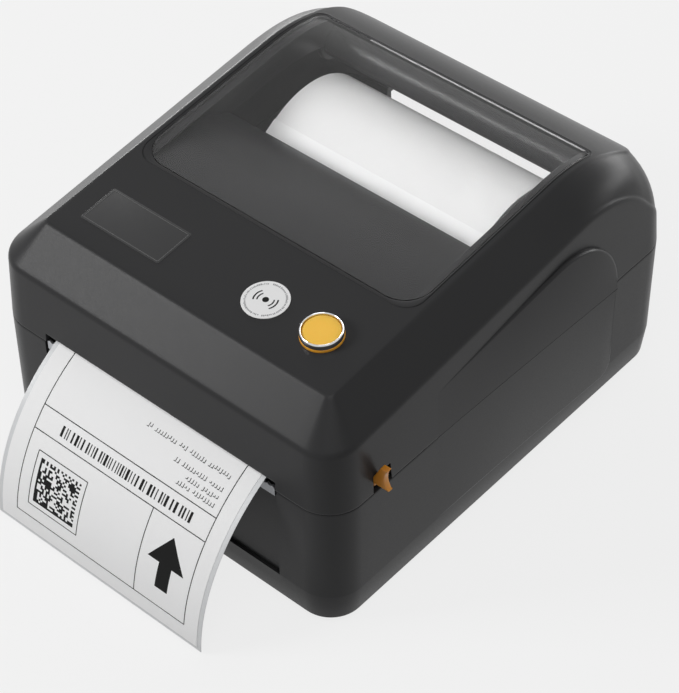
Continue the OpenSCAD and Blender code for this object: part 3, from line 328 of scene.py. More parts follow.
finishes = {
    "shell": finish("charcoalShell", (0.03, 0.03, 0.031), (0.026, 0.026, 0.027), rough=(0.3, 0.38),
                    grain=1600, bump=0.018, patch=14, specular=0.14),
    "inner": finish("blackInner", (0.016, 0.016, 0.017), rough=(0.3, 0.32), grain=1600, bump=0.0, patch=20,
                    specular=0.2),
    "gloss": finish("glossBlack", (0.008, 0.008, 0.009), rough=(0.12, 0.2), grain=300, bump=0.002,
                    specular=0.5, coat=0.3, coatRough=0.05),
    "amber": finish("amberLever", (0.66, 0.27, 0.025), (0.6, 0.23, 0.018), rough=(0.3, 0.4), grain=900,
                    bump=0.006, subsurface=0.15),
    "cap": finish("amberCap", (0.93, 0.55, 0.075), (0.88, 0.5, 0.06), rough=(0.4, 0.5), grain=900, bump=0.003,
                  subsurface=0.2, glow=0.12),
    "collar": finish("amberCollar", (0.8, 0.36, 0.03), (0.72, 0.3, 0.02), rough=(0.2, 0.3), grain=600,
                     bump=0.002, subsurface=0.3, glow=0.1),
    "chrome": finish("chromeRing", (0.78, 0.79, 0.81), rough=(0.06, 0.1), grain=200, bump=0.0, metal=1.0),
    "steel": finish("brushedSteel", (0.5, 0.51, 0.53), (0.42, 0.43, 0.45), rough=(0.28, 0.42), grain=900,
                    stretch=(0.08, 1, 1), bump=0.004, metal=1.0),
    "plate": finish("platedSteel", (0.44, 0.45, 0.47), (0.36, 0.37, 0.39), rough=(0.34, 0.46), grain=400,
                    bump=0.004, metal=1.0),
    "aluminium": finish("extrudedAluminium", (0.62, 0.63, 0.65), rough=(0.35, 0.45), grain=500,
                        stretch=(0.05, 1, 1), bump=0.006, metal=1.0),
    "paper": finish("coatedPaper", (0.9, 0.9, 0.9), (0.87, 0.87, 0.875), rough=(0.55, 0.65), grain=1500,
                    bump=0.004, patch=8, specular=0.3),
    "liner": finish("glassineLiner", (0.66, 0.67, 0.68), (0.6, 0.61, 0.62), rough=(0.35, 0.45), grain=900,
                    bump=0.004, patch=30),
    "ink": finish("thermalInk", (0.006, 0.006, 0.006), (0.01, 0.01, 0.01), rough=(0.7, 0.8), grain=2500,
                  bump=0.0, specular=0.15),
    "greyInk": finish("greyInk", (0.3, 0.3, 0.31), (0.36, 0.36, 0.37), rough=(0.5, 0.6), grain=2500,
                      bump=0.0),
    # lighter grey than the plate, for the line that paints a highlight along the name plate's edge
    "plateEdgeHighlight": finish("plateEdgeHighlight", (0.09, 0.09, 0.09), rough=(0.3, 0.4), grain=1500, bump=0.0),
    "card": finish("coreCard", (0.42, 0.29, 0.16), (0.34, 0.22, 0.12), rough=(0.7, 0.85), grain=700,
                   stretch=(0.3, 1, 1), bump=0.03),
    "rubber": finish("groundRubber", (0.02, 0.02, 0.021), rough=(0.6, 0.75), grain=1800, bump=0.02),
    "foot": finish("mouldedRubber", (0.026, 0.026, 0.026), rough=(0.65, 0.8), grain=1200, bump=0.02),
    "nylon": finish("naturalNylon", (0.7, 0.67, 0.6), (0.64, 0.6, 0.52), rough=(0.35, 0.5), grain=500,
                    bump=0.01, subsurface=0.1),
    "board": finish("solderMask", (0.01, 0.1, 0.045), (0.014, 0.13, 0.06), rough=(0.25, 0.35), grain=350,
                    bump=0.01, coat=0.3),
    "ceramic": finish("glazedCeramic", (0.66, 0.62, 0.52), (0.6, 0.55, 0.44), rough=(0.15, 0.25), grain=300,
                      bump=0.003),
    "red": finish("rockerRed", (0.42, 0.02, 0.014), (0.36, 0.016, 0.01), rough=(0.25, 0.35), grain=700,
                  bump=0.004),
    "window": clearPlastic("clearWindow", (0.95, 0.95, 0.95)),
}


finishes["roll"] = woundPaper("woundLabels", (0.84, 0.84, 0.84), (0.45, 0.45, 0.46))
print("materials ready")


# ---- the lid's heights along its depth

body = {"half": 85.35, "depth": 202.3, "parting": 60.4, "lidEdge": 60.75, "baseEdge": 60.55, "corner": 15.0,
        "wall": 2.5, "foot": 2.5, "skirtTop": 15.5, "skirtIn": 1.4, "recessHalf": 58.5, "recessIn": 1.3}
crown = {"y": 148.0, "topR": 70.0, "topSlope": 5.65, "topZ": 103.5, "topY": 16.1,
         "lowR": 47.0, "lowSlope": 6.2, "lowZ": 88.7, "lowY": 1.2, "lowEnd": 185.0, "fall": 1.08}


def slopeThenArc(y, startY, startZ, slope, r):
    # a straight slope that runs into an arc of radius r with its crest at crown y
    a = math.radians(slope)
    arcY = crown["y"] - r * math.sin(a)
    crest = startZ + (arcY - startY) * math.tan(a) + r * (1 - math.cos(a))
    round_ = crest - r + np.sqrt(np.maximum(r * r - (np.minimum(y, crown["y"] + r - 1) - crown["y"]) ** 2, 0))
    return np.where(y < arcY, startZ + (y - startY) * math.tan(a), round_)


def topAt(y):
    return slopeThenArc(np.asarray(y, float), crown["topY"], crown["topZ"], crown["topSlope"], crown["topR"])


def lowAt(y):
    y = np.maximum(np.asarray(y, float), crown["lowY"])
    z = slopeThenArc(np.minimum(y, crown["lowEnd"]), crown["lowY"], crown["lowZ"], crown["lowSlope"],
                     crown["lowR"])
    return z - np.maximum(y - crown["lowEnd"], 0) * crown["fall"]


# ---- outlines in plan, all on the same stations: side number and share of that side

def stationList(frontX, sideY, rearX, cornerSteps=14):
    half, r, d = body["half"], body["corner"], body["depth"]
    reach = half - r
    front = (np.unique(np.round(frontX, 4)) + reach) / (2 * reach)
    side = (np.unique(np.round(sideY, 4)) - r) / (d - 2 * r)
    rear = (reach - np.unique(np.round(rearX, 4))[::-1]) / (2 * reach)
    turn = np.linspace(0, 1, cornerSteps)
    parts = [front, turn, side, turn, rear, turn, 1 - side[::-1], turn]
    seg = np.concatenate([np.full(len(p) - 1, i) for i, p in enumerate(parts)])
    return seg, np.concatenate([p[:-1] for p in parts])


def ring(stations, half, y0, y1, rf, rr):
    # rounded rectangle: straight sides are shares of their length, corners are shares of 90 degrees
    seg, t = stations
    a = np.radians(90 * t)
    xf, xr = half - rf, half - rr
    x = np.select([seg == i for i in range(8)],
                  [lerp(-xf, xf, t), xf + rf * np.sin(a), half + 0 * t, xr + rr * np.cos(a), lerp(xr, -xr, t),
                   -xr - rr * np.sin(a), -half + 0 * t, -xf - rf * np.cos(a)])
    y = np.select([seg == i for i in range(8)],
                  [y0 + 0 * t, y0 + rf - rf * np.cos(a), lerp(y0 + rf, y1 - rr, t), y1 - rr + rr * np.sin(a),
                   y1 + 0 * t, y1 - rr + rr * np.cos(a), lerp(y1 - rr, y0 + rf, t), y0 + rf - rf * np.sin(a)])
    return np.column_stack([x, y])


def onOutline(p, half, y0, y1, rf, rr):
    # nearest point of a rounded rectangle that lies inside p
    x, y = p[:, 0], p[:, 1]
    r = np.where(y < (y0 + y1) / 2, rf, rr)
    c = np.column_stack([np.clip(x, -(half - r), half - r), np.clip(y, y0 + rf, y1 - rr)])
    edge = c + unit(p - c) * r[:, None]
    straight = (y >= y0 + rf) & (y <= y1 - rr)
    edge[straight] = np.column_stack([np.sign(x) * half, y])[straight]
    return edge


# ---- lid

lid = {"lowHalf": 84.15, "lowIn": 1.2, "upHalf": 70.35, "upFront": 16.1, "upRear": 197.3,
       "windowHalf": 66.8, "windowFront": 63.4, "windowRear": 168.5, "windowR": 12.0, "windowRearR": 3.0,
       "grooveHalf": 67.9, "grooveFront": 61.9, "grooveRear": 169.7, "grooveR": 8.0,
       "slotHalf": 58.0, "slotZ": 64.7, "slotInner": 66.6, "rearSlotZ": 64.9,
       "notch": (21.5, 30.9, 31.5), "notchZ": 68.8, "upRound": (1.0, 1.3), "lowRound": (1.6, 1.6),
       "bulge": 2.6, "innerInset": 2.25,
       "groove": (0.38, 0.16, 0.3)}  # half width at the top and at the floor, and depth


def lidSkin():
    # rows run from the window's edge over the top, down the wall and back inside; columns run round the lid
    gap, n0, n1, n2 = 0.05, *lid["notch"]
    h = lid["slotHalf"]
    cuts = [-h - gap, -h + gap, h - gap, h + gap]
    reach = body["half"] - body["corner"]
    sideEnd = body["depth"] - body["corner"]
    xs = np.concatenate([np.linspace(-reach, reach, 33), cuts])
    ys = np.concatenate([np.linspace(body["corner"], sideEnd, 87), [n0 - gap, n0 + gap, n1, n2]])
    st = stationList(xs, ys, xs)
    seg = st[0]
    r, d = body["corner"], body["depth"]
    foot = ring(st, body["half"], 0, d, r, r)
    low = ring(st, lid["lowHalf"], lid["lowIn"], d - lid["lowIn"], r - 1, r - 1)
    up = ring(st, lid["upHalf"], lid["upFront"], lid["upRear"], 2.5, 12)
    zLow = lowAt(low[:, 1])
    mouth = (lid["windowHalf"], lid["windowFront"], lid["windowRear"], lid["windowR"], lid["windowRearR"])
    w = onOutline(up, *mouth)
    g = onOutline(up, lid["grooveHalf"], lid["grooveFront"], lid["grooveRear"], lid["grooveR"], 4)
    wOut, gOut = unit(up - w), unit(up - g)

    # height of the bottom edge: label slot, fan-fold slot and lever notches
    x, y = foot[:, 0], foot[:, 1]
    edge = np.full(len(x), body["lidEdge"])
    edge[(seg == 0) & (np.abs(x) < h)] = lid["slotZ"]
    edge[(seg == 4) & (np.abs(x) < h)] = lid["rearSlotZ"]
    sides = (seg == 2) | (seg == 6)
    edge[sides & (y > n0) & (y <= n1)] = lid["notchZ"]
    ramp = sides & (y > n1) & (y < n2)
    edge[ramp] = lerp(lid["notchZ"], body["lidEdge"], (y[ramp] - n1) / (n2 - n1))
    innerEdge = np.where((seg == 0) & (np.abs(x) < h), lid["slotInner"], edge)

    def wallPoint(inset, z):
        share = (z - body["lidEdge"]) / (zLow - body["lidEdge"])
        return lift(ring(st, body["half"] - inset, inset, d - inset, r - inset * 0.6, r - inset * 0.6)
                    + (low - foot) * share[:, None], z)

    def onTop(p, drop=0.0):
        return lift(p, topAt(p[:, 1]) - drop)

    rows = [onTop(w, 0.45), onTop(w + wOut * 0.12, 0.13), onTop(w + wOut * 0.45)]
    lip, floorHalf, deep = lid["groove"]
    rows += [onTop(g - gOut * lip), onTop(g - gOut * floorHalf, deep), onTop(g + gOut * floorHalf, deep)]
    start, end = g + gOut * lip, up - gOut * lid["upRound"][0]
    rows += [onTop(lerp(start, end, t)) for t in np.linspace(0, 1, 8)[:-1]]
    corner, shoulder = onTop(up), lift(low, zLow)
    down = unit(shoulder - corner)
    rows += bend(onTop(end), corner, corner + down * lid["upRound"][1], 7)
    fromBevel = shoulder - down * lid["lowRound"][0]
    outward = unit(low - up) * 0.7
    swell = lid["bulge"] * np.clip((low[:, 1] - 120) / 60, 0, 1) ** 1.5
    swell = lift(outward, 0.7) * swell[:, None]
    bevelTop = rows[-1]
    shares = (0.04, *np.linspace(0, 1, 9)[1:-1], 0.96)
    rows += [lerp(bevelTop, fromBevel, t) + swell * 4 * t * (1 - t) for t in shares]
    wallLine = unit(lift(foot, body["lidEdge"]) - shoulder)
    rows += bend(fromBevel, shoulder, shoulder + wallLine * lid["lowRound"][1], 7)
    wallTop = rows[-1]
    rows += [lerp(wallTop, wallPoint(0, edge + 0.8), t) for t in (0.03, 0.25, 0.5, 0.75)]
    rows += [wallPoint(0, edge + 0.8), wallPoint(0, edge + 0.25), wallPoint(0.06, edge + 0.07),
             wallPoint(0.25, edge)]
    rows += [wallPoint(body["wall"] - 0.2, innerEdge), wallPoint(body["wall"], innerEdge + 0.3)]
    inset = lid["innerInset"]
    innerFoot = ring(st, lid["lowHalf"] - inset, lid["lowIn"] + inset, d - lid["lowIn"] - inset, r - 2, r - 2)
    innerLow = lift(innerFoot, zLow - 1)
    rows += [lerp(rows[-1], innerLow, 0.5), innerLow]
    innerUp = ring(st, lid["upHalf"] - 1, lid["upFront"] + 1, lid["upRear"] - 2.5, 1.5, 11)
    rows += [onTop(innerUp, body["wall"]), onTop(lerp(innerUp, w, 0.5), body["wall"]), onTop(w, body["wall"])]
    points = np.stack(rows)
    return Part().add(points, gridQuads(len(rows), len(foot), wrapRows=True))


pad = {"out": 2.7, "power": 1.4, "front": 50.0, "rear": 163.0, "arcY": 132.0, "arcZ": 63.6, "r": 31.0,
       "lean": 8.8, "footZ": 15.5, "footR": 7.0, "round": 1.2, "root": 83.4}
padY = pad["front"] + (pad["rear"] - pad["front"]) * np.sin(np.linspace(0, math.pi / 2, 64))


def sidePads(low, high, seam):
    # between two curves over the same y values; the face leaves the wall slowly and stands out to the rear
    n = len(padY)
    loop = np.vstack([np.column_stack([padY, low]), np.column_stack([padY, high])[::-1]])
    atSeam = np.abs(loop[:, 1] - seam) < 0.01
    share = np.concatenate([padY, padY[::-1]])
    out = pad["out"] * ((share - pad["front"]) / (pad["rear"] - pad["front"])) ** pad["power"] - 0.06
    r = pad["round"]
    bow = [(r * (1 - math.cos(q)), r * (1 - math.sin(q))) for q in np.radians((0, 22, 45, 68, 90))]
    part = Part()
    for s in (-1, 1):
        rings = []
        for inset, drop in [(0, None)] + bow:
            section = insetLoop(loop, inset)
            y, z = section[:, 0], np.where(atSeam, seam, section[:, 1])
            lean = 1.2 * np.clip((z - body["lidEdge"]) / (lowAt(y) - body["lidEdge"]), 0, 1)
            face = body["half"] - lean + out
            x = pad["root"] + 0 * y if drop is None else face - drop * np.minimum(out + 0.1, 1)
            rings.append(np.column_stack([s * x, y, z]))
        k = np.arange(n - 1)
        cap = (len(rings) - 1) * 2 * n + np.column_stack([k, k + 1, 2 * n - 2 - k, 2 * n - 1 - k])
        part.add(np.concatenate(rings), [*gridQuads(len(rings), 2 * n), *cap, range(2 * n)])
    return part


def padRoof():
    # straight slope that runs into the arch
    a = math.radians(pad["lean"])
    startY, startZ = pad["arcY"] - pad["r"] * math.sin(a), pad["arcZ"] + pad["r"] * math.cos(a)
    arch = pad["arcZ"] + np.sqrt(np.maximum(pad["r"] ** 2 - (padY - pad["arcY"]) ** 2, 0))
    return np.where(padY < startY, startZ - (startY - padY) * math.tan(a), arch)


def padFoot():
    # level, with a rounded corner at the rear
    past = np.maximum(padY - pad["rear"] + pad["footR"], 0)
    return pad["footZ"] + pad["footR"] - np.sqrt(pad["footR"] ** 2 - past ** 2)


def knuckles(first):
    # hinge barrels with a foot each, on the lid or on the base
    cy, cz, r = body["depth"] + 2.8, body["parting"], 3.8
    root = body["depth"] - 1.9
    if first:
        loop = np.vstack([[root, cz + 0.5], [root, cz + r], arc(cy, cz, r, 90, -172, 30)])
    else:
        loop = np.vstack([[root, cz], [root, cz - r], arc(cy, cz, r, -90, 180, 30)])
    part = Part()
    for s in (-1, 1):
        for k in range(first, 3, 2):
            x0 = s * (59 + 3.6 * k)
            part.loft(loop, rim(x0 + s * 0.06, x0 + s * 3.24, 0.25), alongX)
    return part


def block(part, lo, hi, r=0.3):
    # box with rounded upright corners and rims
    (x0, y0, z0), (x1, y1, z1) = lo, hi
    q = 0.6 * min(x1 - x0, y1 - y0, 2) / 2
    corners = [arc(cx, cy, q, a, a + 90, 4) for cx, cy, a in
               ((x0 + q, y0 + q, 180), (x1 - q, y0 + q, 270), (x1 - q, y1 - q, 0), (x0 + q, y1 - q, 90))]
    return part.loft(np.vstack(corners), rim(z0, z1, r), alongZ)


def post(part, x, y, z0, z1, r):
    return part.lathe([(0, z0), (r - 0.3, z0), (r, z0 + 0.3), (r, z1 - 0.3), (r - 0.3, z1), (0, z1)], 24,
                      lambda p: p + [x, y, 0])


lidSkin().make("lidShell", finishes["shell"], "lid", 40, ("lid_shell",), "charcoal")
sidePads(body["lidEdge"] + 0 * padY, padRoof(), body["lidEdge"]).make(
    "lidSidePads", finishes["shell"], "lid", 30, (), "charcoal")
knuckles(1).make("lidKnuckles", finishes["shell"], "lid", 30, (), "charcoal")

ribs = Part()
for s in (-1, 1):
    for xa in (69, 79.9):
        block(ribs, (min(s * xa, s * (xa + 1.6)), 16, 62.9), (max(s * xa, s * (xa + 1.6)), 22.4, 93))
    for y in (76, 152):
        post(ribs, s * 72.8, y, float(topAt(y)) - 15, float(topAt(y)) - 10, 3.2)
    post(ribs, s * 28, 30, 98, 102, 3.5)
block(ribs, (-60, 2.2, 67), (60, 4.2, 71))
ribs.make("lidRibs", finishes["shell"], "lid", 30, (), "charcoal")
print("lid ready")


# ---- window and the frame under it

def windowPanel():
    # x = half width at y times s, z on the lid's top line; a second grid lies one thickness lower
    half, y0, y1 = lid["windowHalf"] - 0.1, lid["windowFront"] + 0.1, lid["windowRear"] - 0.1
    r, rr = lid["windowR"], lid["windowRearR"]
    a = np.radians(np.linspace(0, 90, 12))
    y = np.concatenate([y0 + r - r * np.cos(a), np.linspace(y0 + r, y1 - rr, 40)[1:-1],
                        y1 - rr + rr * np.sin(a[::2])])
    inset = np.where(y < y0 + r, r - np.sqrt(np.maximum(r * r - (y0 + r - y) ** 2, 0)), 0)
    inset = np.where(y > y1 - rr, rr - np.sqrt(np.maximum(rr * rr - (y - y1 + rr) ** 2, 0)), inset)
    s = np.linspace(-1, 1, 25)
    x = (half - inset)[:, None] * s
    grids = []
    for drop in (0.05, 2.5):
        grids.append(np.stack([x, np.repeat(y[:, None], len(s), 1),
                               np.repeat(topAt(y)[:, None] - drop, len(s), 1)], -1))
    n, m = len(y), len(s)
    quads = gridQuads(n, m, wrapCols=False)
    edge = np.concatenate([np.arange(m), np.arange(1, n) * m + m - 1, (n - 1) * m + np.arange(m - 2, -1, -1),
                           np.arange(n - 2, 0, -1) * m])
    nxt = np.roll(edge, -1)
    walls = np.column_stack([edge, nxt, nxt + n * m, edge + n * m])
    return Part().add(np.stack(grids), [*quads, *(quads + n * m), *walls])


windowPanel().make("windowPanel", finishes["window"], "lid", 50, ("window_panel",), "clear_plastic")

inside = {"half": 66.0, "barY": 176.0, "barZ": 95.8, "barR": 7.0, "postY": (76.0, 152.0), "postX": 72.8,
          "ledge": 3.0}


def innerFrame():
    # scoop and crossbar, as profiles in (y, z) carried across
    part = Part()
    t61, t64 = float(topAt(61)), float(topAt(64))
    scoop = np.array([[61, t61 - 5.4], [97.4, 101.8], [111.6, 94.6], [112.6, 96.5], [98, 104],
                      [64, t64 - 2.9], [61, t61 - 3.2]])
    w = inside["half"]
    part.loft(scoop, rim(-w - 0.5, w + 0.5, 0.2), alongX)
    y = np.linspace(62, 174, 46)
    ledge = np.vstack([np.column_stack([y, topAt(y) - 3.6]), np.column_stack([y, topAt(y) - 2.75])[::-1]])
    collar = arc(inside["barY"], inside["barZ"], inside["barR"] + 2, 60, 480, 40)[:-1]
    for s in (-1, 1):
        part.loft(ledge, rim(s * (w - inside["ledge"]), s * (w + 0.5), 0.2), alongX)
        part.loft(collar, rim(s * (w + 0.05), s * (w + 2.45), 0.4), alongX)
        for py in inside["postY"]:
            z = float(topAt(py)) - 17
            lo, hi = sorted((s * (w + 1), s * (inside["postX"] + 3.4)))
            block(part, (lo, py - 4, z), (hi, py + 4, z + 2))
    bar = [(0, -w - 1), (inside["barR"], -w - 1), (inside["barR"], w + 1), (0, w + 1)]
    part.lathe(bar, 64, lambda p: p[:, [2, 0, 1]] + [0, inside["barY"], inside["barZ"]])
    return part


def innerWalls():
    # side walls under the window's edges
    part, w = Part(), inside["half"]
    y = np.linspace(62, 174, 46)
    wall = np.vstack([np.column_stack([y, topAt(y) - 17]), np.column_stack([y, topAt(y) - 2.7])[::-1]])
    for s in (-1, 1):
        part.loft(wall, rim(s * w, s * (w + 2.5), 0.3), alongX)
    return part


innerWalls().make("innerWalls", finishes["inner"], "lid", 30, (), "dark_plastic")
innerFrame().make("innerFrame", finishes["inner"], "lid", 30, ("inner_frame",), "dark_plastic")
print("window ready")


# ---- base

ports = [(-46.8, -37.2, 10.6, 21.8), (19.7, 32.3, 10.6, 21.8), (42.3, 61.7, 18.6, 31.4)]
rearSlotZ = 43.5


def baseSkin():
    # rows run from the top edge down the wall, under the skirt and back up inside; ports leave cells out
    gap, h, rh = 0.05, lid["slotHalf"], body["recessHalf"]
    reach = body["half"] - body["corner"]
    even = np.linspace(-reach, reach, 29)
    frontX = np.concatenate([even, [-rh - gap, -rh + gap, rh - gap, rh + gap]])
    portX = [v for p in ports for v in p[:2]]
    rearX = np.concatenate([even[np.abs(even) > 62], portX, [-h - gap, -h + gap, h - gap, h + gap],
                            [-30, -22, -10, 0, 10]])
    st = stationList(frontX, np.linspace(body["corner"], body["depth"] - body["corner"], 30), rearX)
    seg = st[0]
    r, d, half = body["corner"], body["depth"], body["half"]
    foot = ring(st, half, 0, d, r, r)
    x = foot[:, 0]
    top = np.full(len(x), body["baseEdge"])
    top[(seg == 4) & (np.abs(x) < h)] = rearSlotZ
    recess = (seg == 0) & (np.abs(x) < rh)
    thick = (seg == 0) & (np.abs(x) < 62)

    def at(inset, z, sunk=True):
        p = ring(st, half - inset, inset, d - inset, max(r - inset, 8), max(r - inset, 8))
        p[:, 1] += np.where(recess & sunk, body["recessIn"], 0)
        return lift(p, z)

    def skirt(z):
        return body["skirtIn"] * (body["skirtTop"] - z) / (body["skirtTop"] - body["foot"])

    def inner(inset, z):
        p = ring(st, half - inset, inset, d - inset, r - inset, r - inset)
        p[:, 1] = np.where(thick, np.maximum(p[:, 1], 3.8), p[:, 1])
        return lift(p, z)

    mark = 31.4
    rows = [at(0.25, top), at(0.06, top - 0.07), at(0, top - 0.25)]
    rows += [at(0, lerp(top - 0.25, mark, t)) for t in (0.03, 0.35, 0.67)]
    levels = [31.4, 21.8, 18.6, 15.9]
    rows += [at(0, z) for z in levels]
    first = len(rows) - len(levels)
    rows += [at(0, body["skirtTop"]), at(0, body["skirtTop"], False)]
    rows += [at(skirt(z), z, False) for z in (10.6, 3.1)]
    rows += [at(skirt(2.6) + 0.1, 2.65, False), at(body["skirtIn"] + 0.5, body["foot"], False)]
    rows += [inner(3.9, body["foot"])]
    rows += [inner(3.9, z) for z in (10.6, 15.5)]
    innerFirst = len(rows)
    rows += [inner(2.5, z) for z in (15.5, 15.9, 18.6, 21.8, 31.4)]
    rows += [inner(2.5, lerp(mark, top - 0.3, t)) for t in (0.5, 1)] + [inner(2.2, top)]
    points = np.stack(rows)
    n, m = len(foot), len(rows)
    quads = gridQuads(m, n, wrapRows=True).reshape(m, n, 4)
    keep = np.ones((m, n), bool)
    outerRow = {31.4: first, 21.8: first + 1, 18.6: first + 2, 15.9: first + 3, 15.5: first + 4,
                15.4: first + 5, 10.6: first + 6}
    innerRow = {10.6: innerFirst - 2, 15.4: innerFirst - 1, 15.5: innerFirst, 15.9: innerFirst + 1,
                18.6: innerFirst + 2, 21.8: innerFirst + 3, 31.4: innerFirst + 4}
    frames = []
    rear = np.where(seg == 4)[0]
    for x0, x1, z0, z1 in ports:
        cols = [c for c in rear if x0 - 0.01 <= x[c] <= x1 + 0.01]
        zs = [z for z in outerRow if z0 - 0.01 <= z <= z1 + 0.01]
        for c in cols[:-1]:
            keep[outerRow[z1]:outerRow[z0], c] = False
            keep[innerRow[z0]:innerRow[z1], c] = False
            for z in (z0, z1):
                frames.append([outerRow[z] * n + c, outerRow[z] * n + c + 1, innerRow[z] * n + c + 1,
                               innerRow[z] * n + c])
        for za, zb in zip(zs[:-1], zs[1:]):
            for c in (cols[0], cols[-1]):
                frames.append([outerRow[za] * n + c, outerRow[zb] * n + c, innerRow[zb] * n + c,
                               innerRow[za] * n + c])
    return Part().add(points, [*quads[keep], *frames])


baseSkin().make("baseShell", finishes["shell"], "base", 40, ("base_shell",), "charcoal")
sidePads(padFoot(), body["baseEdge"] + 0 * padY, body["baseEdge"]).make(
    "baseSidePads", finishes["shell"], "base", 30, (), "charcoal")
knuckles(0).make("baseKnuckles", finishes["shell"], "base", 30, (), "charcoal")
bosses = Part()
for s in (-1, 1):
    for y in (22, 180):
        post(bosses, s * 76.5, y, 5.1, 19.1, 5.6)
    pin = [(0, 79.9), (2.5, 79.9), (2.8, 80.2), (2.8, 83), (0, 83)]
    bosses.lathe(pin, 28, lambda p, s=s: np.column_stack([s * p[:, 2], p[:, 0] + 25, p[:, 1] + 50]))
    for y in (66, 128, 172):
        lo, hi = sorted((s * 78, s * 83.2))
        block(bosses, (lo, y, 30), (hi, y + 4, 59))
bosses.make("baseBosses", finishes["shell"], "base", 30, (), "charcoal")
print("base ready")


# ---- label path: printed label, liner and roll

path = {"y": 37.0, "z": -1.0, "r": 74.0, "nipY": 12.0, "tipGap": 0.9, "web": 0.15, "label": 0.12, "gap": 0.15,
        "platen": 8.0, "rodY": 79.0, "rodZ": 68.2, "rodR": 2.5, "webHalf": 53.0, "labelHalf": 51.0}
nipA = math.degrees(math.asin((path["y"] - path["nipY"]) / path["r"]))
tipA = math.degrees(math.acos((path["tipGap"] - path["z"]) / path["r"]))
endA = (tipA - nipA) / 56
platenOff = path["r"] - path["web"] / 2 - path["gap"] - path["platen"]
platenY = path["y"] - platenOff * math.sin(math.radians(nipA))
platenZ = path["z"] + platenOff * math.cos(math.radians(nipA))


def curl(angle, offset):
    # the label's arc outside the slot
    a = np.radians(angle)
    r = path["r"] + offset
    return np.column_stack([path["y"] - r * np.sin(a), path["z"] + r * np.cos(a)])


def webLine(o):
    # arc, turn over the platen, dip under the rod and rise onto the roll, at offset o from the middle
    webR = path["platen"] + path["gap"] + path["web"] / 2
    rodR = path["rodR"] + path["gap"] + path["label"] + path["web"] / 2
    rollR = roll["outer"] + path["gap"] + path["web"] / 2
    dy, dz = path["rodY"] - platenY, path["rodZ"] - platenZ
    flat = math.degrees(math.atan(dz / dy) - math.asin((webR + rodR) / math.hypot(dy, dz)))
    ry, rz = roll["y"] - path["rodY"], roll["z"] - path["rodZ"]
    rise = math.degrees(math.atan(rz / ry) + math.asin((rollR + rodR) / math.hypot(ry, rz)))
    over = np.radians(np.linspace(nipA - 3, flat, 10))
    under = np.radians(np.linspace(flat, rise, 15))
    end = math.radians(rise)
    return np.vstack([
        curl(np.linspace(tipA, nipA, 57), o),
        np.column_stack([platenY - (webR + o) * np.sin(over), platenZ + (webR + o) * np.cos(over)]),
        np.column_stack([path["rodY"] + (rodR - o) * np.sin(under),
                         path["rodZ"] - (rodR - o) * np.cos(under)]),
        [[roll["y"] - (rollR + o) * math.sin(end), roll["z"] + (rollR + o) * math.cos(end)]]])


half = path["web"] / 2
webLoop = np.vstack([webLine(-half), webLine(half)[::-1]])
web = Part().loft(webLoop, [(0, -path["webHalf"]), (0, path["webHalf"])], alongX).make(
    "labelWeb", finishes["liner"], "base", 40, ("label_web",), "liner_paper")
# behind the platen the web still carries its blank labels
web.data.materials.append(finishes["paper"])
centres = np.empty(len(web.data.polygons) * 3)
web.data.polygons.foreach_get("center", centres)
behind = centres[1::3] > toFrame([0, platenY, 0])[0, 1]
web.data.polygons.foreach_set("material_index", behind.astype(int))
span = np.linspace(tipA - endA, nipA + endA, 55)
labelLoop = np.vstack([curl(span, half), curl(span, half + path["label"])[::-1]])
Part().loft(labelLoop, [(0, -path["labelHalf"]), (0, path["labelHalf"])], alongX).make(
    "printedLabel", finishes["paper"], "base", 40, ("printed_label",), "label_paper")

ink = {"line": 0.38, "left": -42.9, "right": 44.4, "bottom": 8.6, "rule1": 45.1, "rule2": 54.8,
       "divider": 18.9,
       "box": (-37.2, -11.7, 14.8, 38.4), "cells": 22, "arrow": (22.9, 40.6, 16.9, 39.6), "seed": 4}


def inkStrip(part, d, xl, xr):
    # a film between x = xl and xr that follows the label's arc; d is the distance from the label's tip
    d, xl, xr = (np.broadcast_to(np.asarray(v, float), np.shape(d)) for v in (d, xl, xr))
    angle = tipA - np.degrees(d / (path["r"] + half + path["label"]))
    low, high = curl(angle, half + path["label"] - 0.03), curl(angle, half + path["label"] + 0.03)
    rings = np.stack([np.column_stack([xl, low]), np.column_stack([xr, low]), np.column_stack([xr, high]),
                      np.column_stack([xl, high])], 1)
    k = len(d)
    part.add(rings, [*gridQuads(k, 4), range(4), range(4 * k - 4, 4 * k)])


def inkBox(part, x0, x1, d0, d1):
    inkStrip(part, np.linspace(d0, d1, 2 + int(abs(d1 - d0) / 2.5)), x0, x1)


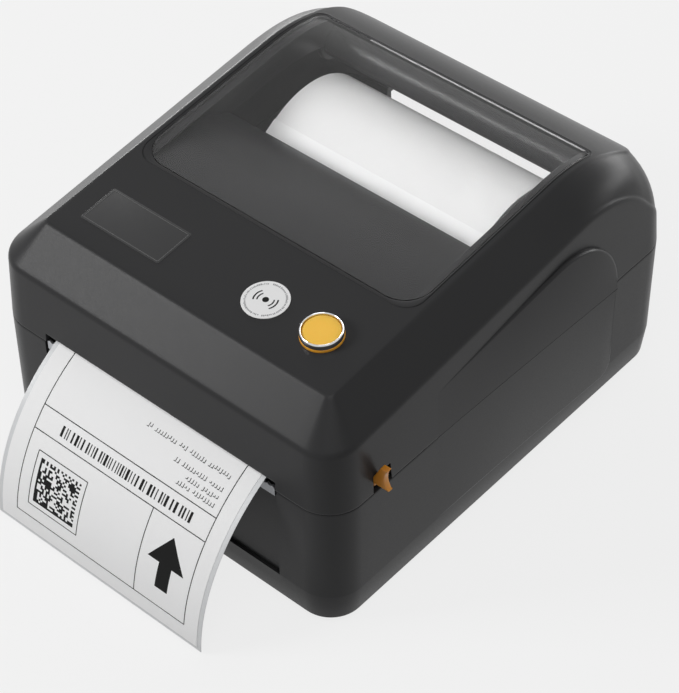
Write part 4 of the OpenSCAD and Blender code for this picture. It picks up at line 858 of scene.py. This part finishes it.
def labelPrint():
    part = Part()
    w = ink["line"] / 2
    end = 77.5
    for x in (ink["left"], ink["right"]):
        inkBox(part, x - w, x + w, ink["bottom"], end)
    for d in (ink["bottom"], ink["rule1"], ink["rule2"]):
        inkBox(part, ink["left"], ink["right"], d - w, d + w)
    inkBox(part, ink["divider"] - w, ink["divider"] + w, ink["bottom"], ink["rule1"])
    x0, x1, d0, d1 = ink["box"]
    for x in (x0, x1):
        inkBox(part, x - w, x + w, d0, d1)
    for d in (d0, d1):
        inkBox(part, x0, x1, d - w, d + w)
    # square code: solid left and lower edge, scattered cells elsewhere
    draw = random.Random(ink["seed"])
    n = ink["cells"]
    cw, ch = (x1 - x0 - 4.4) / n, (d1 - d0 - 4.4) / n
    bx, bd = x0 + 2.2, d0 + 2.2
    inkBox(part, bx, bx + cw, bd, bd + n * ch)
    inkBox(part, bx + cw, bx + n * cw, bd, bd + ch)
    for i in range(1, n):
        for j in range(1, n):
            border = i == n - 1 or j == n - 1
            if (border and (i + j) % 2 == 0) or (not border and draw.random() < 0.5):
                inkBox(part, bx + i * cw, bx + (i + 0.98) * cw, bd + j * ch, bd + (j + 0.98) * ch)
    # bar row across the middle band
    x = -31.0
    while x < 34.2:
        wide = draw.choice((0.45, 0.45, 0.8, 1.15))
        inkBox(part, x, x + wide, 47.6, 51.9)
        x += wide + draw.choice((0.7, 0.7, 1.1, 1.6))
    # short strokes in groups stand for small print
    for x0, x1, d0, d1 in ((0.2, 41.2, 68.9, 70.8), (18.3, 41.2, 63.7, 65.5), (24.6, 41.2, 60.2, 62.0),
                           (23.4, 41.2, 57.2, 59.0)):
        x, word = x1, 0
        limit = draw.randint(4, 8)
        while x > x0:
            low = d0 + draw.choice((0, 0, 0.5))
            inkBox(part, x - 0.3, x, low, d1 - draw.choice((0, 0, 0.4)))
            inkBox(part, x - 0.95, x - 0.3, low, low + 0.28)
            word += 1
            x -= 1.35
            if word == limit:
                word, limit = 0, draw.randint(3, 9)
                x -= 1.2
    # bold arrow pointing back towards the slot
    x0, x1, d0, d1 = ink["arrow"]
    mid, stem, neck = (x0 + x1) / 2, 3.1, d1 - 12.0
    inkBox(part, mid - stem, mid + stem, d0, neck)
    d = np.linspace(neck, d1, 9)
    spread = (x1 - x0) / 2 * (d1 - d) / (d1 - neck) + 0.05
    inkStrip(part, d, mid - spread, mid + spread)
    return part


labelPrint().make("labelPrint", finishes["ink"], "base", 40, (), "gloss_black")

# wound roll: fine steps on its ends where turns stand a little in or out
draw = random.Random(7)
rs = np.linspace(roll["inner"], roll["outer"] - 0.25, 46)
steps = [draw.uniform(-0.09, 0.05) for _ in rs]
endRows = [(r, roll["half"] - 0.12 + s) for r, s in zip(rs, steps)]
outline = [(r, -h) for r, h in endRows] + [(roll["outer"], -roll["half"] + 0.2), (roll["outer"], 0.0),
                                          (roll["outer"], roll["half"] - 0.2)] + endRows[::-1]
Part().lathe(outline, 144, lambda p: p[:, [2, 0, 1]] + [0, roll["y"], roll["z"]], closed=True).make(
    "labelRoll", finishes["roll"], "roll", 35, ("label_roll",), "label_paper")
core = [(roll["core"], -roll["half"] + 0.2), (roll["core"] + 0.3, -roll["half"]),
        (roll["inner"] - 0.1, -roll["half"]),
        (roll["inner"] - 0.02, 0), (roll["inner"] - 0.1, roll["half"]), (roll["core"] + 0.3, roll["half"]),
        (roll["core"], roll["half"] - 0.2)]
Part().lathe(core, 96, lambda p: p[:, [2, 0, 1]] + [0, roll["y"], roll["z"]], closed=True).make(
    "rollCore", finishes["card"], "roll", 35, ("roll_core",), "core_card")
print("labels ready")


# ---- front controls on the sloping top

top = {"slope": 5.65, "plate": (-40.7, 34.8, 40.0, 18.5), "disc": (22.4, 36.2, 9.0), "button": (49.4, 35.8)}


def onSlope(cx, cy):
    # local points, z along the surface's normal
    a = math.radians(top["slope"])
    turn = np.array([[1, 0, 0], [0, math.cos(a), -math.sin(a)], [0, math.sin(a), math.cos(a)]])
    centre = np.array([cx, cy, float(topAt(cy))])
    return lambda p: np.asarray(p) @ turn.T + centre


def roundRect(w, d, r):
    return np.vstack([arc(sx * (w / 2 - r), sy * (d / 2 - r), r, a, a + 90, 7)
                      for sx, sy, a in ((-1, -1, 180), (1, -1, 270), (1, 1, 0), (-1, 1, 90))])


px, py, pw, pd = top["plate"]
toPlate = onSlope(px, py)
Part().loft(roundRect(pw, pd, 0.9), rim(-0.8, 0.1, 0.08, 2), lambda l, h: toPlate(alongZ(l, h))).make(
    "namePlate", finishes["gloss"], "lid", 30, ("name_plate",), "gloss_black")
# a thin lighter grey ring just inside the name plate's rim: a painted highlight along the plate's edge
highlightLoop = roundRect(pw - 1.6, pd - 1.6, 0.7)
highlightLine = Part()
highlightPoints = np.concatenate([toPlate(alongZ(insetLoop(highlightLoop, i), h)) for i, h in
                             ((0, 0.06), (0, 0.16), (0.3, 0.16), (0.3, 0.06))])
highlightLine.add(highlightPoints, gridQuads(4, len(highlightLoop), wrapRows=True))
highlightLine.make("plateHighlightLine", finishes["plateEdgeHighlight"], "lid", 30, (), "gloss_black")

dx, dy, dr = top["disc"]
toDisc = onSlope(dx, dy)
discShape = [(0, 0.02), (dr - 0.05, 0.02), (dr, 0.1), (dr, 0.2), (dr - 0.1, 0.3), (0, 0.3)]
Part().lathe(discShape, 96, toDisc).make(
    "roundDisc", finishes["paper"], "lid", 30, ("round_disc",), "label_paper")


def discMark(part, r0, r1, a0, a1, cx=0.0):
    # a band between two radii, as a closed film on the disc
    steps = max(3, int(abs(a1 - a0) / 5))
    loop = np.vstack([arc(cx, 0, r1, a0, a1, steps), arc(cx, 0, r0, a1, a0, steps)])
    part.loft(loop, [(0, 0.28), (0, 0.33)], lambda l, h: toDisc(alongZ(l, h)))


marks = Part()
for s, a in ((1, 0), (-1, 180)):
    for r0, w in ((2.9, 0.5), (4.3, 0.55)):
        discMark(marks, r0, r0 + w, a - 34, a + 34)
marks.lathe([(0, 0.28), (1.25, 0.28), (1.25, 0.33), (0, 0.33)], 32, toDisc)
marks.make("discMark", finishes["ink"], "lid", 30, (), "gloss_black")
dashes = Part()
a = -60.0
while a < 290:
    step = draw.choice((2.2, 3.0, 3.8))
    if not 108 < (a + 360) % 360 < 122:
        discMark(dashes, 7.25, 7.25 + draw.choice((0.55, 0.75)), a, a + step)
    a += step + draw.choice((1.4, 1.4, 3.0))
dashes.make("discDashes", finishes["greyInk"], "lid", 30, (), "gloss_black")

toButton = onSlope(*top["button"])
collar = [(5.56, 1.0), (7.9, 1.0), (8.15, 0.9), (8.2, 0.7), (8.2, 0.0), (6.98, -0.1), (6.98, -3.8),
          (5.56, -3.8)]
Part().lathe(collar, 96, toButton, closed=True).make(
    "lightCollar", finishes["collar"], "lid", 30, ("light_ring",), "amber_light")
bezel = [(7.2, 1.02), (8.02, 1.02), (8.1, 1.25), (8.1, 2.6), (8.0, 3.1), (7.82, 3.45), (7.6, 3.6), (7.4, 3.5),
         (7.26, 3.2), (7.2, 2.8)]
Part().lathe(bezel, 128, toButton, closed=True).make(
    "buttonRing", finishes["chrome"], "lid", 60, ("button_bezel",), "chrome_ring")
capShape = [(0, 3.14), (3, 3.13), (5.6, 3.06), (6.5, 2.98), (6.85, 2.85), (7.0, 2.6), (7.0, 2.32), (5.5, 2.3),
            (5.5, -4), (6.5, -4), (6.5, -5), (1.4, -5), (1.4, -6.1), (0, -6.1)]
Part().lathe(capShape, 96, toButton).make(
    "buttonCap", finishes["cap"], "button", 30, ("button_cap",), "amber_light")
print("controls ready")


# ---- release levers

lever = {"y": 25.0, "z": 50.0, "x": 74.4, "t": 5.0, "finY": 21.8, "finT": 2.4, "scoop": (13.2, 21.2, 8.7)}


def thumbLever(s):
    # an arm on the latch pin and a flared fin with a thumb hollow outside the wall
    part = Part()
    ly, lz, lo = lever["y"], lever["z"], lever["x"]
    arm = np.vstack([arc(ly, lz, 5, 150, 390, 26), [[ly + 1.7, lz + 18], [ly - 1.7, lz + 18]]])
    part.loft(arm, rim(s * lo, s * (lo + lever["t"]), 0.5), alongX)
    x0, x1 = sorted((s * (lo + 1), s * (body["half"] + 0.05)))
    block(part, (x0, lever["finY"] + 0.1, lz + 14.4), (x1, lever["finY"] + 4.4, lz + 17.9))
    cx, cz, r = lever["scoop"]
    hollow = arc(cx, cz, r, 180 + 35, 180 - 33, 15)
    fin = np.vstack([[[-1.4, 15.9], [0, 15.9]], arc(6.15, 16.3, 0.4, 270, 330, 4), hollow,
                     arc(5.5, 25.6, 0.4, 40, 90, 3), arc(3.1, 25.5, 0.5, 90, 140, 3),
                     [[0.2, 20.4], [-1.4, 18.2]]])
    fin = fin + [body["half"], lz]
    y0 = lever["finY"]
    part.loft(fin, rim(y0, y0 + lever["finT"], 0.35),
              lambda l, h: alongY(np.column_stack([s * l[:, 0], l[:, 1]]), h))
    return part


for s, side in ((-1, "left"), (1, "right")):
    thumbLever(s).make(side + "Lever", finishes["amber"], side + "_latch", 40, ("thumb_lever_" + side,),
                       "amber_lever")

# feet and platen
feet = Part()
for sx in (-1, 1):
    for y in (22, 180):
        feet.lathe([(0, 0), (5.2, 0), (5.6, 0.4), (6.4, 0.4), (6.8, 0), (7.0, 0.1), (7.9, 1.7), (8.0, 2.5),
                    (0, 2.5)],
                   48, lambda p, sx=sx, y=y: p + [sx * 62, y, 0])
feet.make("rubberFeet", finishes["foot"], "base", 30, ("rubber_feet",), "foot_rubber")
platen = [(0, -55), (7.7, -55), (8.0, -54.6), (8.0, 0), (8.0, 54.6), (7.7, 55), (0, 55)]
Part().lathe(platen, 96, lambda p: p[:, [2, 0, 1]] + [0, platenY, platenZ]).make(
    "platenRubber", finishes["rubber"], "platen", 30, ("platen_rubber",), "platen_rubber")
print("levers and feet ready")


# ---- CAD nodes: softened copies where edges catch the light, better finishes on the rest

def softened(name, body, material, width):
    # a merged copy of the node with its flat faces joined and its edges rounded
    mesh = frame["nodes"][name].data.copy()
    mesh.materials.clear()
    bm = bmesh.new()
    bm.from_mesh(mesh)
    bmesh.ops.remove_doubles(bm, verts=bm.verts, dist=2e-6)
    bmesh.ops.dissolve_limit(bm, angle_limit=math.radians(1), verts=bm.verts, edges=bm.edges)
    bm.to_mesh(mesh)
    bm.free()
    return finishPiece(name + "Soft", mesh, material, body, 32, (name,), width)


record = frame["record"]
nodeSlot = {p["node"]: p["material_slot"] for p in record["subparts"]}
nodeBody = {n: b for b, names in record["behaviour"]["bodies"].items() for n in names}
slotFinish = {"charcoal": "shell", "dark_plastic": "inner", "gloss_black": "gloss", "clear_plastic": "window",
              "amber_lever": "amber", "amber_light": "cap", "chrome_ring": "chrome", "steel": "plate",
              "aluminium": "aluminium", "label_paper": "paper", "liner_paper": "liner", "core_card": "card",
              "platen_rubber": "rubber", "foot_rubber": "foot", "nylon": "nylon", "circuit_board": "board",
              "head_ceramic": "ceramic", "rocker_red": "red"}
soft = {"media_tray": 0.5, "side_plates": 0.25, "guide_left": 0.3, "guide_right": 0.3, "roll_arm_left": 0.4,
        "roll_arm_right": 0.4, "gap_sensor": 0.3, "latch_hook_left": 0.3, "latch_hook_right": 0.3,
        "power_rocker": 0.4, "switch_housing": 0.3, "power_jack": 0.3, "usb_port": 0.2, "stepper_motor": 0.5,
        "head_bracket": 0.2, "heat_sink": 0.15, "head_hanger": 0.2, "bottom_cover": 0.3}
for name, width in soft.items():
    softened(name, nodeBody[name], finishes[slotFinish[nodeSlot[name]]], width)
brushed = ("tear_bar", "guide_rod", "platen_shaft", "motor_shaft", "latch_strikers", "latch_pins",
           "hinge_pins")
for name, obj in frame["nodes"].items():
    if not obj.hide_render:
        chosen = finishes["steel" if name in brushed else slotFinish[nodeSlot[name]]]
        obj.data.materials.clear()
        obj.data.materials.append(chosen)
print("CAD nodes finished")


# ---- floor, light and camera

stage = {"floor": 6.0, "drop": 0.0002, "aim": 0.05, "floorColour": 0.5, "shown": 0.8, "world": 0.2}
floorMesh = bpy.data.meshes.new("floor")
f = stage["floor"]
floorMesh.from_pydata([(-f, -f, 0), (f, -f, 0), (f, f, 0), (-f, f, 0)], [], [(0, 1, 2, 3)])
floor = bpy.data.objects.new("floor", floorMesh)
floor.location.z = -stage["drop"]
bpy.context.scene.collection.objects.link(floor)


def brightToCamera(tree, surface, share):
    # camera, mirror and glass rays see this share of plain white over the lit surface, but not once a
    # matte surface has scattered them, or the pane would light the roll under it
    link = tree.links.new
    rays = node(tree, "ShaderNodeLightPath")
    first = node(tree, "ShaderNodeMath", operation="MAXIMUM")
    link(rays.outputs["Is Camera Ray"], first.inputs[0])
    link(rays.outputs["Is Transmission Ray"], first.inputs[1])
    second = node(tree, "ShaderNodeMath", operation="MAXIMUM")
    link(first.outputs[0], second.inputs[0])
    link(rays.outputs["Is Glossy Ray"], second.inputs[1])
    unscattered = node(tree, "ShaderNodeMath", operation="LESS_THAN")
    link(rays.outputs["Diffuse Depth"], unscattered.inputs[0])
    unscattered.inputs[1].default_value = 0.5
    direct = node(tree, "ShaderNodeMath", operation="MULTIPLY")
    link(second.outputs[0], direct.inputs[0])
    link(unscattered.outputs[0], direct.inputs[1])
    scale = node(tree, "ShaderNodeMath", operation="MULTIPLY")
    link(direct.outputs[0], scale.inputs[0])
    scale.inputs[1].default_value = share
    mix = node(tree, "ShaderNodeMixShader")
    link(scale.outputs[0], mix.inputs["Fac"])
    link(surface, mix.inputs[1])
    return mix


floorMaterial = bpy.data.materials.new("paleFloor")
floorMaterial.use_nodes = True
tree = floorMaterial.node_tree
lit = tree.nodes["Principled BSDF"]
lit.inputs["Base Color"].default_value = (*[stage["floorColour"]] * 3, 1)
lit.inputs["Roughness"].default_value = 0.9
lit.inputs["Specular IOR Level"].default_value = 0.1
white = node(tree, "ShaderNodeEmission")
mix = brightToCamera(tree, lit.outputs[0], stage["shown"])
tree.links.new(white.outputs[0], mix.inputs[2])
tree.links.new(mix.outputs[0], tree.nodes["Material Output"].inputs["Surface"])
floorMesh.materials.append(floorMaterial)

world = bpy.data.worlds.new("studio")
bpy.context.scene.world = world
world.use_nodes = True
tree = world.node_tree
background = tree.nodes["Background"]
background.inputs["Color"].default_value = (1, 1, 1, 1)
background.inputs["Strength"].default_value = stage["world"]
shown = node(tree, "ShaderNodeBackground", Color=(1, 1, 1, 1), Strength=1.0)
mix = brightToCamera(tree, background.outputs[0], stage["shown"])
tree.links.new(shown.outputs[0], mix.inputs[2])
tree.links.new(mix.outputs[0], tree.nodes["World Output"].inputs["Surface"])

# place, width, height, power
lamps = {"front": ((-0.95, -1.05, 0.92), 0.55, 0.6, 14.0), "rear": ((0.25, 1.5, 0.3), 1.6, 0.45, 13.0),
         "left": ((-1.5, 0.95, 0.25), 1.2, 0.4, 18.0), "over": ((0.45, -0.45, 1.6), 1.0, 1.0, 7.0)}
for name, (place, width, height, power) in lamps.items():
    light = bpy.data.lights.new(name, "AREA")
    light.shape = "RECTANGLE"
    light.size, light.size_y, light.energy = width, height, power
    lamp = bpy.data.objects.new(name, light)
    lamp.location = place
    lamp.rotation_euler = (Vector((0, 0, stage["aim"])) - Vector(place)).to_track_quat("-Z", "Y").to_euler()
    bpy.context.scene.collection.objects.link(lamp)

view = {"azimuth": 41.41, "elevation": 44.57, "roll": -0.64, "lens": 123.63, "sensor": 36.0,
        "at": (0.4476, -0.4925, 0.6862)}
az, el, turn = (math.radians(view[k]) for k in ("azimuth", "elevation", "roll"))
back = Vector((math.sin(az) * math.cos(el), -math.cos(az) * math.cos(el), math.sin(el)))
right = (-back).cross(Vector((0, 0, 1))).normalized()
up = right.cross(-back)
right2 = math.cos(turn) * right + math.sin(turn) * up
up2 = -math.sin(turn) * right + math.cos(turn) * up
camera = bpy.data.objects.new("camera", bpy.data.cameras.new("camera"))
camera.data.lens, camera.data.sensor_width = view["lens"], view["sensor"]
camera.data.clip_start, camera.data.clip_end = 0.05, 30.0
m = Matrix((right2, up2, back)).transposed().to_4x4()
m.translation = view["at"]
camera.matrix_world = m
bpy.context.scene.collection.objects.link(camera)
bpy.context.scene.camera = camera
bpy.context.scene.view_settings.view_transform = "Standard"
print("stage ready")
